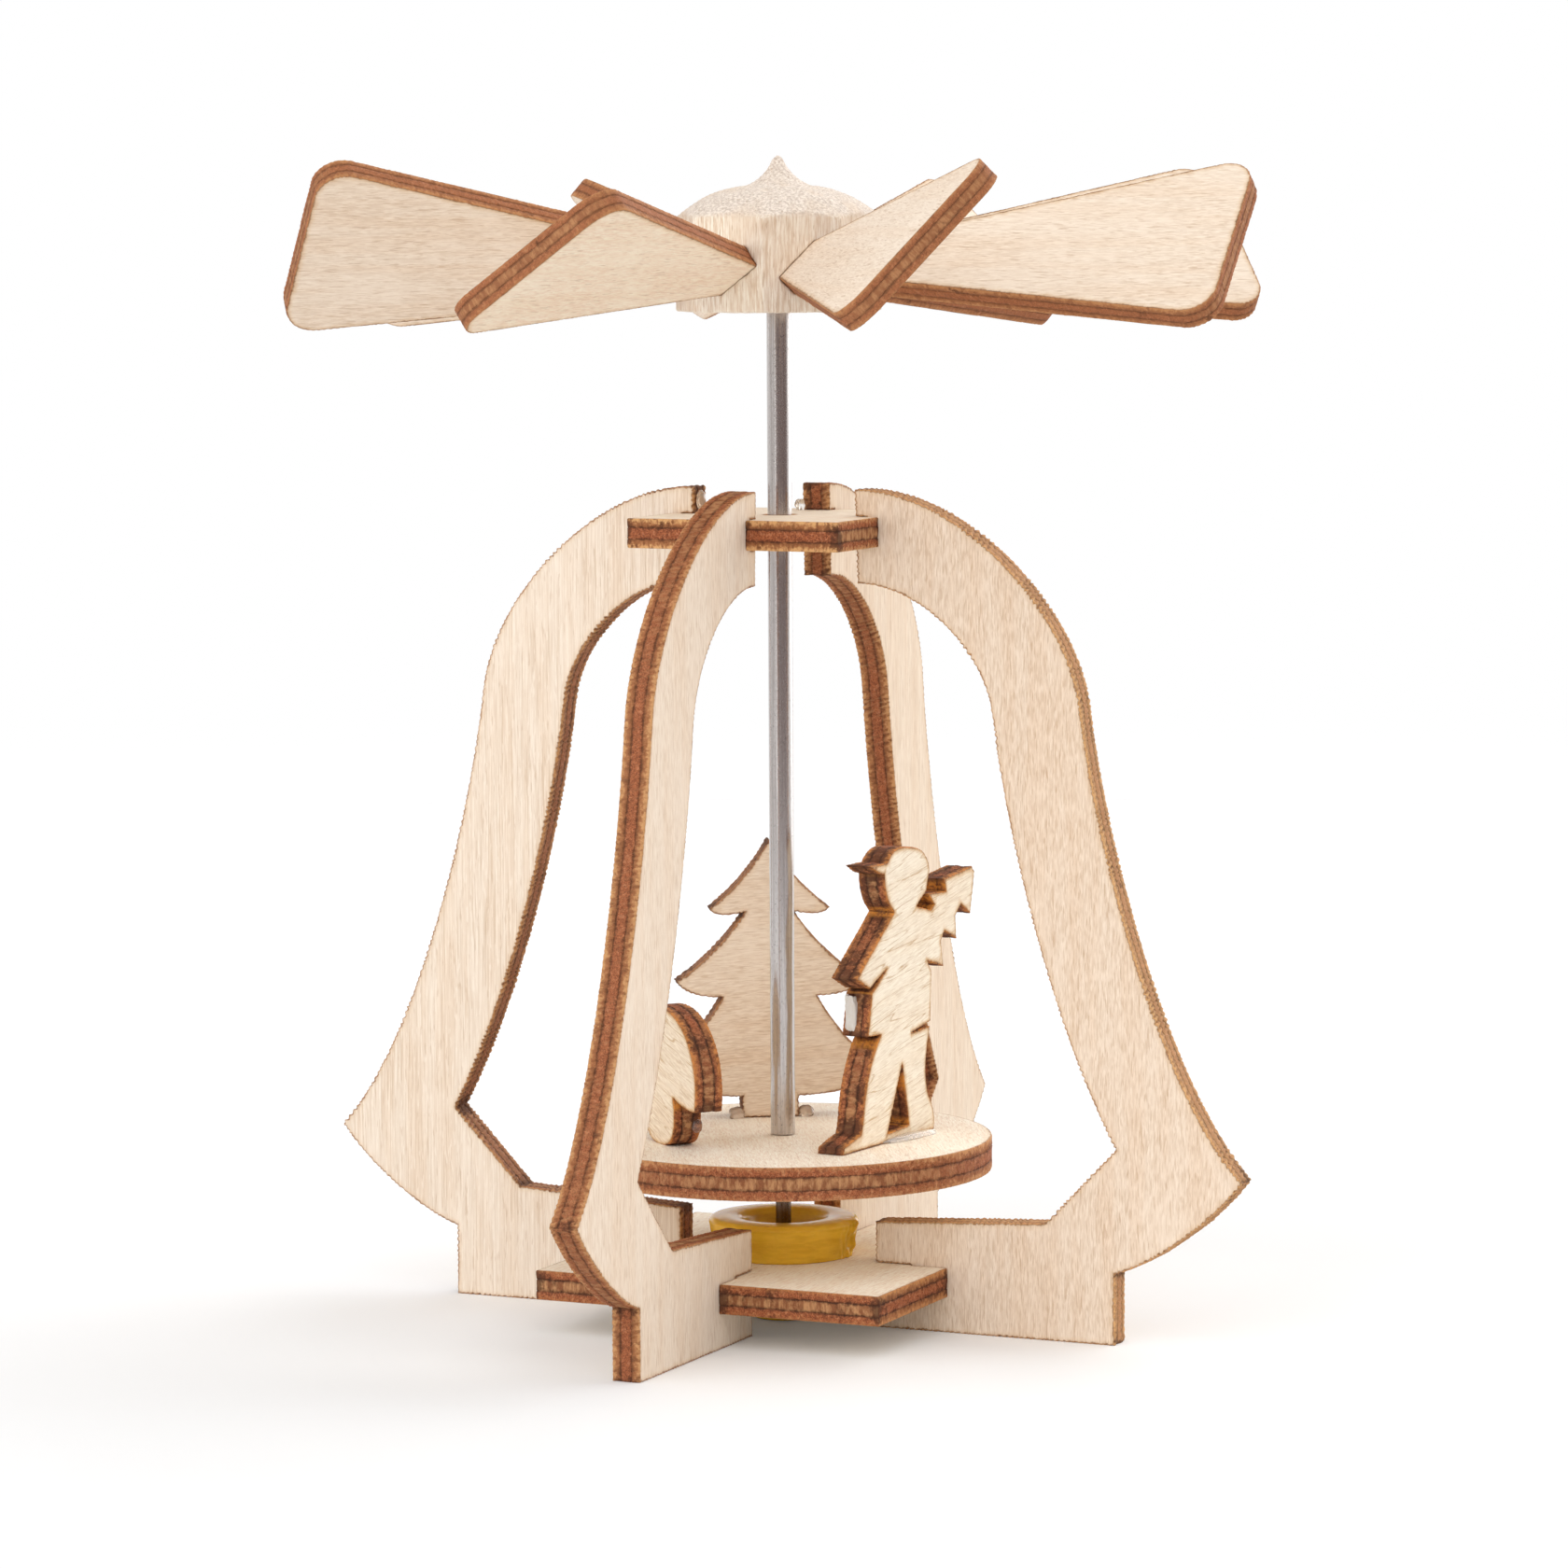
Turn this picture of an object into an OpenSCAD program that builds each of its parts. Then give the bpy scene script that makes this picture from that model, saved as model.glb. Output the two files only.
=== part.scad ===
// Christmas pyramid for the table: four bell-shaped plywood arms carry two square
// plates; a steel shaft spins in a bearing cup and turns a disc of figures under a
// paddle rotor. Millimetres, +Z up, origin on the table on the shaft axis.

/* [Plywood] */
// Thickness of the arms, plates and figures
ply = 3; // [2:0.1:5]
// Glue gap on each side of a slotted joint
joint_gap = 0.05; // [0.02:0.01:0.2]

/* [Arms] */
// Distance of the flare tips from the shaft axis
tip_r = 50.6; // [40:0.1:70]
// Height of the flare tips
tip_z = 17.3; // [12:0.1:24]
// Width of the curved band
band_w = 9.5; // [6:0.1:14]
// Distance of the band's upper end from the shaft axis
crown_r = 9; // [6:0.1:14]
// Height of the band's upper end
crown_z = 85.5; // [70:0.1:110]
// Distance of the waist, where shoulder and flare meet, from the axis
waist_r = 33.4; // [28:0.1:42]
// Height of the waist
waist_z = 64.1; // [50:0.1:80]
// Distance of the foot's outer end from the axis
foot_r = 37.1; // [32:0.1:46]
// Height of the foot's upright outer end
foot_z = 7.3; // [4:0.1:12]
// Distance of the floor bar's inner end from the axis
bar_r = 11; // [8:0.1:16]
// Height of the floor bar at its inner end
bar_z = 10.9; // [8:0.1:16]
// Distance of the corner where the bar turns up into the flare
heel_r = 29.6; // [24:0.1:36]
// Height of that corner
heel_z = 11.9; // [9:0.1:18]

/* [Plates] */
// Side of the square top plate
top_plate_w = 23.2; // [18:0.1:30]
// Height of the top plate's underside
top_plate_z = 79.75; // [60:0.05:100]
// Hole that guides the shaft in the top plate
guide_d = 3.3; // [3.1:0.1:5]
// Side of the square base plate
base_plate_w = 37.9; // [28:0.1:50]
// Height of the base plate's underside
base_plate_z = 3.65; // [3:0.05:6]

/* [Bearing cup] */
// Outer diameter at the rim
cup_rim_d = 15.5; // [12:0.1:20]
// Outer diameter where the cup sits on the base plate
cup_foot_d = 14.2; // [11:0.1:18]
// Height of the rim above the base plate
cup_h = 3.95; // [3:0.05:5]
// Diameter of the bowl at the rim
bowl_d = 9.3; // [7:0.1:12]
// Depth of the bowl
bowl_depth = 2.7; // [1.5:0.1:4]
// Diameter of the boss that locks the cup in the base plate
boss_d = 7; // [5:0.1:10]
// Height of the boss's lower end above the table
boss_z = 0.1; // [0.05:0.05:2.9]

/* [Shaft] */
// Diameter of the steel shaft
shaft_d = 2.5; // [2:0.1:3]
// Diameter of the pin below the shoulder
pin_d = 1.6; // [1.2:0.1:2]
// Length of the pin's point
point_h = 1.4; // [0.8:0.1:2.5]
// Play between the point and the bottom of the cup
point_gap = 0.1; // [0.05:0.05:0.3]
// Length of shaft inside the hub
hub_grip = 7; // [4:0.5:8]

/* [Turntable] */
// Diameter of the disc
disc_d = 42.9; // [30:0.1:52]
// Height of the disc's upper face
disc_z = 19; // [16:0.1:24]
// Thickness of the disc
disc_t = 3.4; // [2:0.1:5]

/* [Fir tree] */
// Height of the tree
tree_h = 29.2; // [20:0.1:36]
// Half width of the tree's lowest tier
tree_half_w = 12.1; // [8:0.1:16]
// Distance of the tree from the shaft axis
tree_r = 12.9; // [9:0.1:16]
// Place of the tree around the disc, in degrees
tree_at = 121; // [0:0.5:360]

/* [Woodcutter] */
// Height of the woodcutter
woodcutter_h = 29.8; // [20:0.1:36]
// Distance of the woodcutter from the shaft axis
woodcutter_r = 10.8; // [9:0.1:14]
// Place of the woodcutter around the disc, in degrees
woodcutter_at = 355; // [0:0.5:360]

/* [Mushroom] */
// Height of the mushroom
mushroom_h = 14.1; // [10:0.1:24]
// Half width of the mushroom's cap
mushroom_half_w = 9.1; // [6:0.1:12]
// Distance of the mushroom from the shaft axis
mushroom_r = 12.3; // [9:0.1:16]
// Place of the mushroom around the disc, in degrees
mushroom_at = 229; // [0:0.5:360]

/* [Hub] */
// Diameter across the corners of the eight-sided hub
hub_d = 21.2; // [16:0.1:28]
// Height of the hub's underside
hub_z = 103.4; // [95:0.1:115]
// Height of the hub's straight sides
hub_side_h = 9.6; // [7:0.1:14]
// Height of the roof with its spike
roof_h = 6.1; // [3:0.1:10]
// Turn of the hub's flats against the blades, in degrees
hub_turn = -4; // [-8:0.5:8]

/* [Blades] */
// Distance of the blades' outer ends from the axis
blade_r = 49.8; // [40:0.1:60]
// Width of a blade at its outer end
blade_tip_w = 21.8; // [14:0.1:28]
// Width that the two sides would have at the axis
blade_axis_w = 1.2; // [0.5:0.1:6]
// Radius of the rounded outer corners
blade_corner_r = 3; // [0:0.1:6]
// Thickness of the blades
blade_t = 2.4; // [1.5:0.1:4]
// Height where the blades' centre lines meet the axis
blade_z = 107.2; // [100:0.05:112]
// Slant of the blades, in degrees
pitch = 45; // [25:0.5:60]
// Rise of the blades towards their outer ends, in degrees
rise = 3.5; // [0:0.1:8]
// Depth of the slots behind the hub's flats
slot_depth = 2.8; // [1.5:0.1:3.5]
// Place of the first blade around the axis at rest, in degrees
blade_at = 222; // [0:0.5:360]

/* [Hidden] */
$fn = 96;
birch = [0.92, 0.79, 0.64];
carved = [0.90, 0.81, 0.67];
mustard = [0.83, 0.60, 0.13];
steel = [0.60, 0.59, 0.58];
// Points on each curved stretch of an outline
steps = 14;
// Overrun of cutting shapes past the faces that they cut
over = 1;

arm_front_at = 270;
arm_right_at = 0;
arm_back_at = 90;
arm_left_at = 180;
base_top_z = base_plate_z + ply;
disc_under_z = disc_z - disc_t;
bowl_z = base_top_z + cup_h - bowl_depth;
dimple_depth = 0.6;
dimple_r = 1.5;
point_z = bowl_z - dimple_depth + point_gap;
shaft_top_z = hub_z + hub_grip;
hub_top_z = hub_z + hub_side_h;
blades = 8;
blade_step = 360 / blades;
flat_r = hub_d / 2 * cos(blade_step / 2);
blade_root_r = flat_r - slot_depth;
// The slots are sawn by hand: each blade's own turn, slant and rise, in degrees off the rule
blade_turns = [0, -1, -1.5, 2, 0, -1, 0.5, 2.5];
blade_slants = [4, -10, 0, -0.5, -2, -1.5, -3, 1];
blade_rises = [0.3, -1.3, 0.5, 0, -0.3, -1.5, -1, -0.6];
blade_slope = (blade_tip_w - blade_axis_w) / 2 / blade_r;

// Halving joints: each piece is notched half the length of the overlap
top_half_r = (crown_r + top_plate_w / 2) / 2;
base_half_r = (bar_r + base_plate_w / 2) / 2;

// Point on a cubic curve with the four control points c, and its direction
function cubic(c, t) =
    pow(1 - t, 3) * c[0] + 3 * pow(1 - t, 2) * t * c[1] + 3 * (1 - t) * t * t * c[2] + pow(t, 3) * c[3];
function cubic_dir(c, t) =
    let (d = pow(1 - t, 2) * (c[1] - c[0]) + 2 * (1 - t) * t * (c[2] - c[1]) + t * t * (c[3] - c[2]))
    d / norm(d);
// Points from t0 to t1 along a cubic curve, moved sideways by w to its right
function along(c, t0 = 0, t1 = 1, w = 0) =
    [for (i = [0 : steps])
        let (t = t0 + (t1 - t0) * i / steps, d = cubic_dir(c, t))
        cubic(c, t) + w * [d[1], -d[0]]];
// Points along a quadratic curve from a to b that is pulled towards c
function bow(a, c, b) = along([a, (a + 2 * c) / 3, (b + 2 * c) / 3, b]);
// Points on an arc about c
function arc(c, r, a0, a1) =
    [for (i = [0 : steps]) let (a = a0 + (a1 - a0) * i / steps) c + r * [cos(a), sin(a)]];
function mirrored(p) = [for (i = [len(p) - 1 : -1 : 0]) [-p[i][0], p[i][1]]];

// Bell curve of the arms: a round shoulder down to the waist, then a hollow flare
crown = [crown_r, crown_z];
waist = [waist_r, waist_z];
tip = [tip_r, tip_z];
foot = [foot_r, foot_z];
// Handles of the curves at their ends
crown_pull = [10.9, 0.3];
waist_dir = [0.125, -0.992];
waist_pull_up = 10;
waist_pull_down = 13.4;
tip_pull_up = [-9, 9.3];
tip_pull_down = [-2.6, -3.7];
foot_pull = [4.4, 1.2];
inner_crown_pull = 6.1;
inner_waist_pull = 7.3;
shoulder = [crown, crown + crown_pull, waist - waist_pull_up * waist_dir, waist];
flare = [waist, waist + waist_pull_down * waist_dir, tip + tip_pull_up, tip];
// Inner edge of the shoulder, a band's width inside it at both ends
crown_dir = crown_pull / norm(crown_pull);
inner_crown = crown + band_w * [crown_dir[1], -crown_dir[0]];
inner_waist = waist + band_w * [waist_dir[1], -waist_dir[0]];
inner_shoulder = [inner_crown, inner_crown + inner_crown_pull * crown_dir,
                  inner_waist - inner_waist_pull * waist_dir, inner_waist];
underside = [tip, tip + tip_pull_down, foot + foot_pull, foot];
// Share of the flare that the inner edge follows before it turns into the bar
inner_end = 0.8;

module arm_outline() {
    inner = concat(along(inner_shoulder), along(flare, 0, inner_end, band_w));
    difference() {
        polygon(concat(
            along(shoulder), along(flare), along(underside),
            [[foot_r, 0], [bar_r, 0], [bar_r, bar_z], [heel_r, heel_z]],
            [for (i = [len(inner) - 1 : -1 : 0]) inner[i]]));
        halving_notch(crown_r, top_half_r, top_plate_z);
        halving_notch(bar_r, base_half_r, base_plate_z);
    }
}

module halving_notch(r0, r1, z) {
    translate([r0 - over, z - joint_gap]) square([r1 - r0 + over + joint_gap, ply + 2 * joint_gap]);
}

module arm(at) {
    color(birch)
    rotate([90, 0, at]) linear_extrude(ply, center = true) arm_outline();
}

// Square plate with a slot for an arm in the middle of each side
module slotted_plate(w, z, half_r, hole_d) {
    color(birch)
    translate([0, 0, z]) linear_extrude(ply) difference() {
        square(w, center = true);
        for (a = [0 : 90 : 270])
            rotate(a) translate([half_r, -ply / 2 - joint_gap]) square([w, ply + 2 * joint_gap]);
        circle(d = hole_d);
    }
}

module top_plate() {
    slotted_plate(top_plate_w, top_plate_z, top_half_r + joint_gap, guide_d);
}

module base_plate() {
    slotted_plate(base_plate_w, base_plate_z, base_half_r + joint_gap, boss_d + 2 * joint_gap);
}

module bearing_cup() {
    rim_z = base_top_z + cup_h;
    // Draft of the bowl's wall and bevel of the rim's two edges
    bowl_draft = 0.6;
    edge = 0.4;
    bowl_foot_r = bowl_d / 2 - bowl_draft;
    color(mustard)
    rotate_extrude() polygon([
        [0, boss_z],
        [boss_d / 2, boss_z],
        [boss_d / 2, base_top_z + joint_gap],
        [cup_foot_d / 2, base_top_z + joint_gap],
        [cup_rim_d / 2, rim_z - edge],
        [cup_rim_d / 2 - edge, rim_z],
        [bowl_d / 2 + edge, rim_z],
        [bowl_d / 2, rim_z - edge],
        [bowl_foot_r, bowl_z],
        [dimple_r, bowl_z],
        [0, bowl_z - dimple_depth]]);
}

module shaft() {
    color(steel)
    rotate_extrude() polygon([
        [0, point_z],
        [pin_d / 2, point_z + point_h],
        [pin_d / 2, disc_z + joint_gap],
        [shaft_d / 2, disc_z + joint_gap],
        [shaft_d / 2, shaft_top_z],
        [0, shaft_top_z]]);
}

module turntable() {
    color(birch)
    translate([0, 0, disc_under_z]) difference() {
        cylinder(d = disc_d, h = disc_t);
        translate([0, 0, -over]) cylinder(d = pin_d + 2 * joint_gap, h = disc_t + 2 * over);
    }
}

// Stands a flat figure on the disc, facing outwards
module standing(at, r) {
    color(birch)
    rotate(at) translate([r, 0, disc_z + joint_gap]) rotate([90, 0, 90])
        linear_extrude(ply, center = true) children();
}

module tree_figure() {
    // Tips and notches of the three tiers, as shares of the tree's half width and height
    size = [[tree_half_w, 0], [0, tree_h]];
    tips = [[0.52, 0.753], [0.81, 0.493], [1, 0.146]] * size;
    notches = [[0.21, 0.741], [0.41, 0.435], [0.245, 0.074]] * size;
    tops = [[0, tree_h], notches[0], notches[1]];
    // Hollow of the tiers' upper edges and droop of their undersides
    hollow = [0.65, 0.8];
    droop = [1.2, -0.9];
    tiers = [for (i = [0 : 2]) each concat(
        bow(tops[i], (tops[i] + tips[i]) / 2 - hollow, tips[i]),
        bow(tips[i], (tips[i] + notches[i]) / 2 + droop, notches[i]))];
    right = concat(tiers, [[notches[2][0], 0]]);
    standing(tree_at, tree_r) polygon(concat(right, mirrored(right)));
}

// Person in a peaked cap who carries a small fir on the shoulder
module woodcutter_figure() {
    // The outline is drawn 30 mm tall, as distance along the disc and height above it
    drawn_h = 30;
    k = woodcutter_h / drawn_h;
    cap_peak = [[-0.6, 27.7], [-1.8, 28], [-3.4, 28.8], [0, 28.8]];
    cap_top = bow([0, 28.8], [1.4, 30.6], [4.6, 30]);
    nape = concat(bow([4.6, 30], [8.8, 29.8], [9.2, 27.2]), [[8.4, 25]]);
    face = bow([1.5, 23.6], [-0.7, 25.2], [-0.6, 27.7]);
    sleeve = [[-3.3, 15.8], [-0.2, 17.9], [-3.7, 16.3], [-6.5, 17.6], [-4.1, 19.4], [-0.7, 21.9]];
    fir_top = [[6.3, 23.7], [9.4, 23], [10.2, 23.5], [8.9, 24.7], [12.8, 24.6], [12.4, 25.9], [18.6, 26.6]];
    fir_under = [[19.2, 26], [18.2, 21.7], [16.1, 22.9], [14.9, 21.8], [15.1, 19.4], [12.4, 20.5],
                 [11.7, 19.5], [12.2, 16.8], [8.6, 17.8], [9.6, 16.6]];
    coat_back = [[9.3, 11.4], [5.2, 10.7], [9.2, 10.9]];
    rear_leg = concat(bow([9.2, 10.9], [7.1, 5.5], [9.5, 2.8]), [[10, 0]]);
    front_leg = concat([[-9.5, 0]], bow([-9.3, 0.7], [-7.6, 1.2], [-5.8, 1.6]),
                       bow([-5.4, 2.6], [-4.6, 8.2], [-1.4, 11.3]));
    hem = [[-4.2, 11.4]];
    stride = [[3.1, 7.7], [-0.1, 0.9], [4.5, 1.2]];
    outline = concat(rear_leg, front_leg, hem, sleeve, face, cap_peak, cap_top, nape,
                     fir_top, fir_under, coat_back);
    standing(woodcutter_at, woodcutter_r) difference() {
        polygon(k * outline);
        polygon(k * stride);
    }
}

module mushroom_figure() {
    // Widths and heights as shares of the cap's half width and of the whole height
    rim_h = 0.31 * mushroom_h;
    neck_h = 0.36 * mushroom_h;
    neck_w = 0.38 * mushroom_half_w;
    bulb_w = 0.46 * mushroom_half_w;
    heel_w = 0.4 * mushroom_half_w;
    sole_w = 0.16 * mushroom_half_w;
    cap = along([[0, mushroom_h], [0.68 * mushroom_half_w, mushroom_h],
                 [1.13 * mushroom_half_w, 0.68 * mushroom_h], [0.98 * mushroom_half_w, rim_h]]);
    right = concat(cap,
        bow([0.9 * mushroom_half_w, rim_h - 0.1], [0.6 * mushroom_half_w, rim_h], [neck_w, neck_h]),
        along([[neck_w, neck_h], [bulb_w, neck_h / 2], [heel_w, 0.08 * neck_h], [sole_w, 0]]));
    standing(mushroom_at, mushroom_r) polygon(concat(right, mirrored(right)));
}

module roof_profile() {
    // Eave, foot of the spike, neck of the spike and top, each as radius and height
    eave = [hub_d / 2, hub_top_z - 0.3];
    spike_foot = [3.3, hub_top_z + 0.5 * roof_h];
    neck = [0.95, hub_top_z + 0.8 * roof_h];
    peak = [0, hub_top_z + roof_h];
    dome_pull = [0.68 * eave[0], hub_top_z + 0.46 * roof_h];
    spike_pull = spike_foot + [-1.4, 0.5];
    peak_pull = peak + [0.4, 0];
    polygon(concat([[0, hub_z], [eave[0], hub_z]], bow(eave, dome_pull, spike_foot),
                   bow(spike_foot, spike_pull, neck), bow(neck, peak_pull, peak)));
}

module rotor_hub() {
    color(carved)
    difference() {
        intersection() {
            rotate_extrude() roof_profile();
            rotate(blade_at + blade_step / 2 + hub_turn)
                cylinder(d = hub_d, h = hub_top_z + roof_h, $fn = blades);
        }
        translate([0, 0, hub_z - over]) cylinder(d = shaft_d, h = hub_grip + over);
        for (i = [1 : blades]) blade_place(i) blade_solid(joint_gap);
    }
}

function blade_half_w(r) = blade_axis_w / 2 + blade_slope * r;

module blade_outline(gap) {
    side = atan(blade_slope);
    corner = [blade_r - blade_corner_r,
              blade_half_w(blade_r - blade_corner_r) - blade_corner_r / cos(side)];
    right = arc(corner, blade_corner_r, 0, 90 + side);
    root = [[blade_root_r - gap, blade_half_w(blade_root_r) + gap]];
    upper = concat([for (p = right) p + [0, gap]], root);
    polygon(concat(upper, [for (i = [len(upper) - 1 : -1 : 0]) [upper[i][0], -upper[i][1]]]));
}

module blade_solid(gap = 0) {
    linear_extrude(blade_t + 2 * gap, center = true) blade_outline(gap);
}

module blade_place(i) {
    rotate(blade_at + (i - 1) * blade_step + blade_turns[i - 1])
        translate([0, 0, blade_z]) rotate([0, -rise - blade_rises[i - 1], 0])
        rotate([pitch + blade_slants[i - 1], 0, 0]) children();
}

module blade(i) {
    color(birch) blade_place(i) blade_solid();
}

arm(arm_front_at);  // arm_front
arm(arm_right_at);  // arm_right
arm(arm_back_at);  // arm_back
arm(arm_left_at);  // arm_left
top_plate();
base_plate();
bearing_cup();
shaft();
turntable();
tree_figure();
woodcutter_figure();
mushroom_figure();
rotor_hub();
blade(1);  // blade_1
blade(2);  // blade_2
blade(3);  // blade_3
blade(4);  // blade_4
blade(5);  // blade_5
blade(6);  // blade_6
blade(7);  // blade_7
blade(8);  // blade_8
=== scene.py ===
# Looks of a small plywood christmas pyramid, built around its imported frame: birch plywood with laser-cut
# edges, a turned hub, a steel shaft, a moulded bearing cup and beads of hot glue. Lengths of outlines,
# profiles, beads and textures are in millimetres, like the camera's sensor, and the others in metres.
import math
from collections import namedtuple

import bmesh
import bpy
import numpy as np
from mathutils import Matrix, Vector, geometry, kdtree, noise


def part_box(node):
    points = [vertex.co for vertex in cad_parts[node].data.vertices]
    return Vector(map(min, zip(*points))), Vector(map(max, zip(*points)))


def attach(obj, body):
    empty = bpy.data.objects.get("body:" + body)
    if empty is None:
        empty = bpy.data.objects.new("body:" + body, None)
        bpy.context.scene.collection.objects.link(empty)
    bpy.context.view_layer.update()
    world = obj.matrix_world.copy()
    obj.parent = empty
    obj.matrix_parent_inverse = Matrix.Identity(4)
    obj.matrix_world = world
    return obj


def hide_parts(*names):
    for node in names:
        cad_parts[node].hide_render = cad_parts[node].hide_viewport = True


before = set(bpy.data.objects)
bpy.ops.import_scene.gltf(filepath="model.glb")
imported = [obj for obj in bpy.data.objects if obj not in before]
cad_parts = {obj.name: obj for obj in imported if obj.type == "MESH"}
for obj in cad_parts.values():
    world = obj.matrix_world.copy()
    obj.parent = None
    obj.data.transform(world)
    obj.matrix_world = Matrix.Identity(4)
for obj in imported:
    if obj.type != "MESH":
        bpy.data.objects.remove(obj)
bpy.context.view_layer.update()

MM = 0.001
UP = Vector((0, 0, 1))

# Camera, at the photograph's place and angle
IMAGE_SIDE = 1680
FOCAL_PIXELS = 6420.55
CAMERA_TURN = math.radians(24.5525)
CAMERA_DISTANCE = 0.609595
CAMERA_HEIGHT = 0.115817
AIM_TURN = math.radians(24.5256)
AIM_DOWN = math.radians(5.6807)
AIM_ROLL = math.radians(-0.297)
SENSOR_WIDTH = 36.0
NEAR_CLIP = 0.01

# Linear colours of the wood, and shares that make its fibres darker, paler or pinker
BIRCH = (0.84, 0.71, 0.58)
PALE_BIRCH = (0.84, 0.72, 0.595)
WARM_BIRCH = (0.80, 0.655, 0.52)
BRIGHT_BIRCH = (0.86, 0.725, 0.59)
# A lit copy of the birch: raised as painted light against the shade on the base plate and turntable
SHADE_LIFTED_BIRCH = (0.94, 0.815, 0.68)
# A lit copy of the birch: painted light for the blade that takes more light from the left
LIT_PINK_BIRCH = (0.97, 0.785, 0.615)
TAN_BIRCH = (0.845, 0.705, 0.56)
CREAM = (0.885, 0.785, 0.635)
TAN_CREAM = (0.84, 0.71, 0.55)
DARK_FIBRE = (0.80, 0.72, 0.64)
PALE_FIBRE = (1.10, 1.13, 1.16)
PINK_BAND = (0.97, 0.935, 0.90)
PALEST = 0.97
PORE_BROWN = (0.47, 0.28, 0.15)
FURROW_BROWN = (0.56, 0.36, 0.18)

# Linear colours of the laser cut
SCORCH_BROWN = (0.27, 0.115, 0.042)
SCORCH_AMBER = (0.62, 0.37, 0.15)
LONG_BROWN = (0.30, 0.112, 0.045)
LONG_TAN = (0.49, 0.215, 0.088)
TICK_DARK = (0.135, 0.055, 0.026)
END_RED = (0.44, 0.138, 0.056)
END_DARK = (0.20, 0.062, 0.029)
# Colour of painted highlights on the cut's granules
END_GLINT = (0.58, 0.26, 0.13)
CORE_TAN = (0.50, 0.255, 0.115)
CORE_BROWN = (0.25, 0.095, 0.042)
CHAR_DARK = (0.075, 0.032, 0.018)
GLUE_LINE = (0.075, 0.034, 0.020)
EVEN_BROWN = (0.40, 0.165, 0.072)
DULL_BROWN = (0.34, 0.21, 0.12)
RIM_GOLD = (0.76, 0.48, 0.22)
RIM_AMBER = (0.62, 0.24, 0.060)
# Colour of the painted warm bounce light inside narrow notches
NOTCH_BOUNCE_AMBER = (0.76, 0.31, 0.058)

# How a veneer looks: its colour, the depth of its fibres' contrast, their number per millimetre of length,
# shares of dark pores and of the amber stain beside the cut, which also scales the painted warm bounce
# light in narrow notches, and shares of gold along the cut's rims and of char over it; then how far its
# fibres wander, a share of long furrows, a share and the colour of an even wash over the cut, and the depth
# of the cut's ridges, which also sets how strongly the painted shade in their valleys and the painted
# highlights on their crests show
FAINT_RIDGE = 0.05
MILD_RIDGE = 0.08
DEEP_RIDGE = 0.13
Veneer = namedtuple(
    "Veneer", "tone contrast length pores stain gold char drift furrows even wash ridge",
    defaults=(0.4, 0.0, 0.0, EVEN_BROWN, FAINT_RIDGE),
)
ARM_VENEER = Veneer(
    tone=BIRCH, contrast=0.75, length=0.45, pores=0.25, stain=0.35, gold=0.50, char=0.12, even=0.05,
    ridge=DEEP_RIDGE,
)
PLATE_VENEER = Veneer(
    tone=SHADE_LIFTED_BIRCH, contrast=0.9, length=0.60, pores=0.25, stain=0.30, gold=0.45, char=0.20,
    drift=0.5,
)
BLADE_VENEER = Veneer(
    tone=BRIGHT_BIRCH, contrast=0.8, length=0.65, pores=0.35, stain=0.60, gold=0.50, char=0.25, even=0.45,
)
TREE_VENEER = Veneer(
    tone=TAN_BIRCH, contrast=0.9, length=0.60, pores=0.20, stain=0.35, gold=0.20, char=0.40, drift=0.3,
    furrows=0.10, even=0.35, wash=DULL_BROWN, ridge=MILD_RIDGE,
)
FIGURE_VENEER = Veneer(
    tone=CREAM, contrast=0.75, length=0.50, pores=0.20, stain=1.0, gold=0.90, char=0.65, furrows=0.85,
)

# Laser-cut outline
POINT_SPACING = 0.2
LONG_EDGE = 3.0
CORNER_TURN = math.radians(32)
CORNER_REACH = 0.9
NOTCH_GAP = 1.5
NOTCH_NEAR = 0.7
NOTCH_FADE = 0.45
RIDGE_PITCH = 0.58
RIDGE_LEAN = 0.55
RIDGE_WANDER = 0.8
FAINTEST_RIDGE = 0.35
RIM_RAGGED = 1.35
# Chance bumps on the cut: how far they stand out, and how many there are to a millimetre
RAGGED_BUMPS = ((0.040, 1.2), (0.030, 3.3))
# Rows of points inside the rim: how far in, how scorched there, and one for how many of the rim's points
FRINGE_ROWS = ((0.35, 0.48, 2), (0.95, 0.0, 4))
FRINGE_CLEARANCE = 0.8
GRID_STEP = 0.8
GRID_CLEARANCE = 0.7
# Where the glue line lies, as a share of the half thickness
GLUE_SHARE = 0.39
# Profile of the cut: share of the half thickness, and how far the cut lies inside the outline there
EDGE_HALF_PROFILE = (
    (1.0, 0.09), (0.96, 0.025), (0.90, 0.0), (0.66, 0.0),
    (0.43, 0.0), (GLUE_SHARE, 0.06), (0.35, 0.0), (0.12, 0.0),
)

# Reading a flat solid: its weld distance, how squarely its upper face has to lie, the rise of the view that
# picks its upper side, and the length below which its level direction is taken as X
WELD_GAP = 0.000002
FACE_ALIGNMENT = 0.999
TOWARDS_RISE = 0.35
LEVEL_LIMIT = 0.1

# Filling a face: the kind of result that covers the whole hull, and how near two points count as one
HULL_TRIANGLES = 0
TRIANGLE_TOLERANCE = 1e-6

# Shifts per seed that give each piece its own stretch of texture and of bumps
TEXTURE_SHIFT = (17.3, 9.1, 0.0)
BUMP_SHIFT = 31.7


def tinted(colour, shares, depth=1.0):
    """The colour times the shares, with how far they leave 1 scaled by depth."""
    return tuple(min(c * (1 + (share - 1) * depth), PALEST) for c, share in zip(colour, shares))


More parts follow.
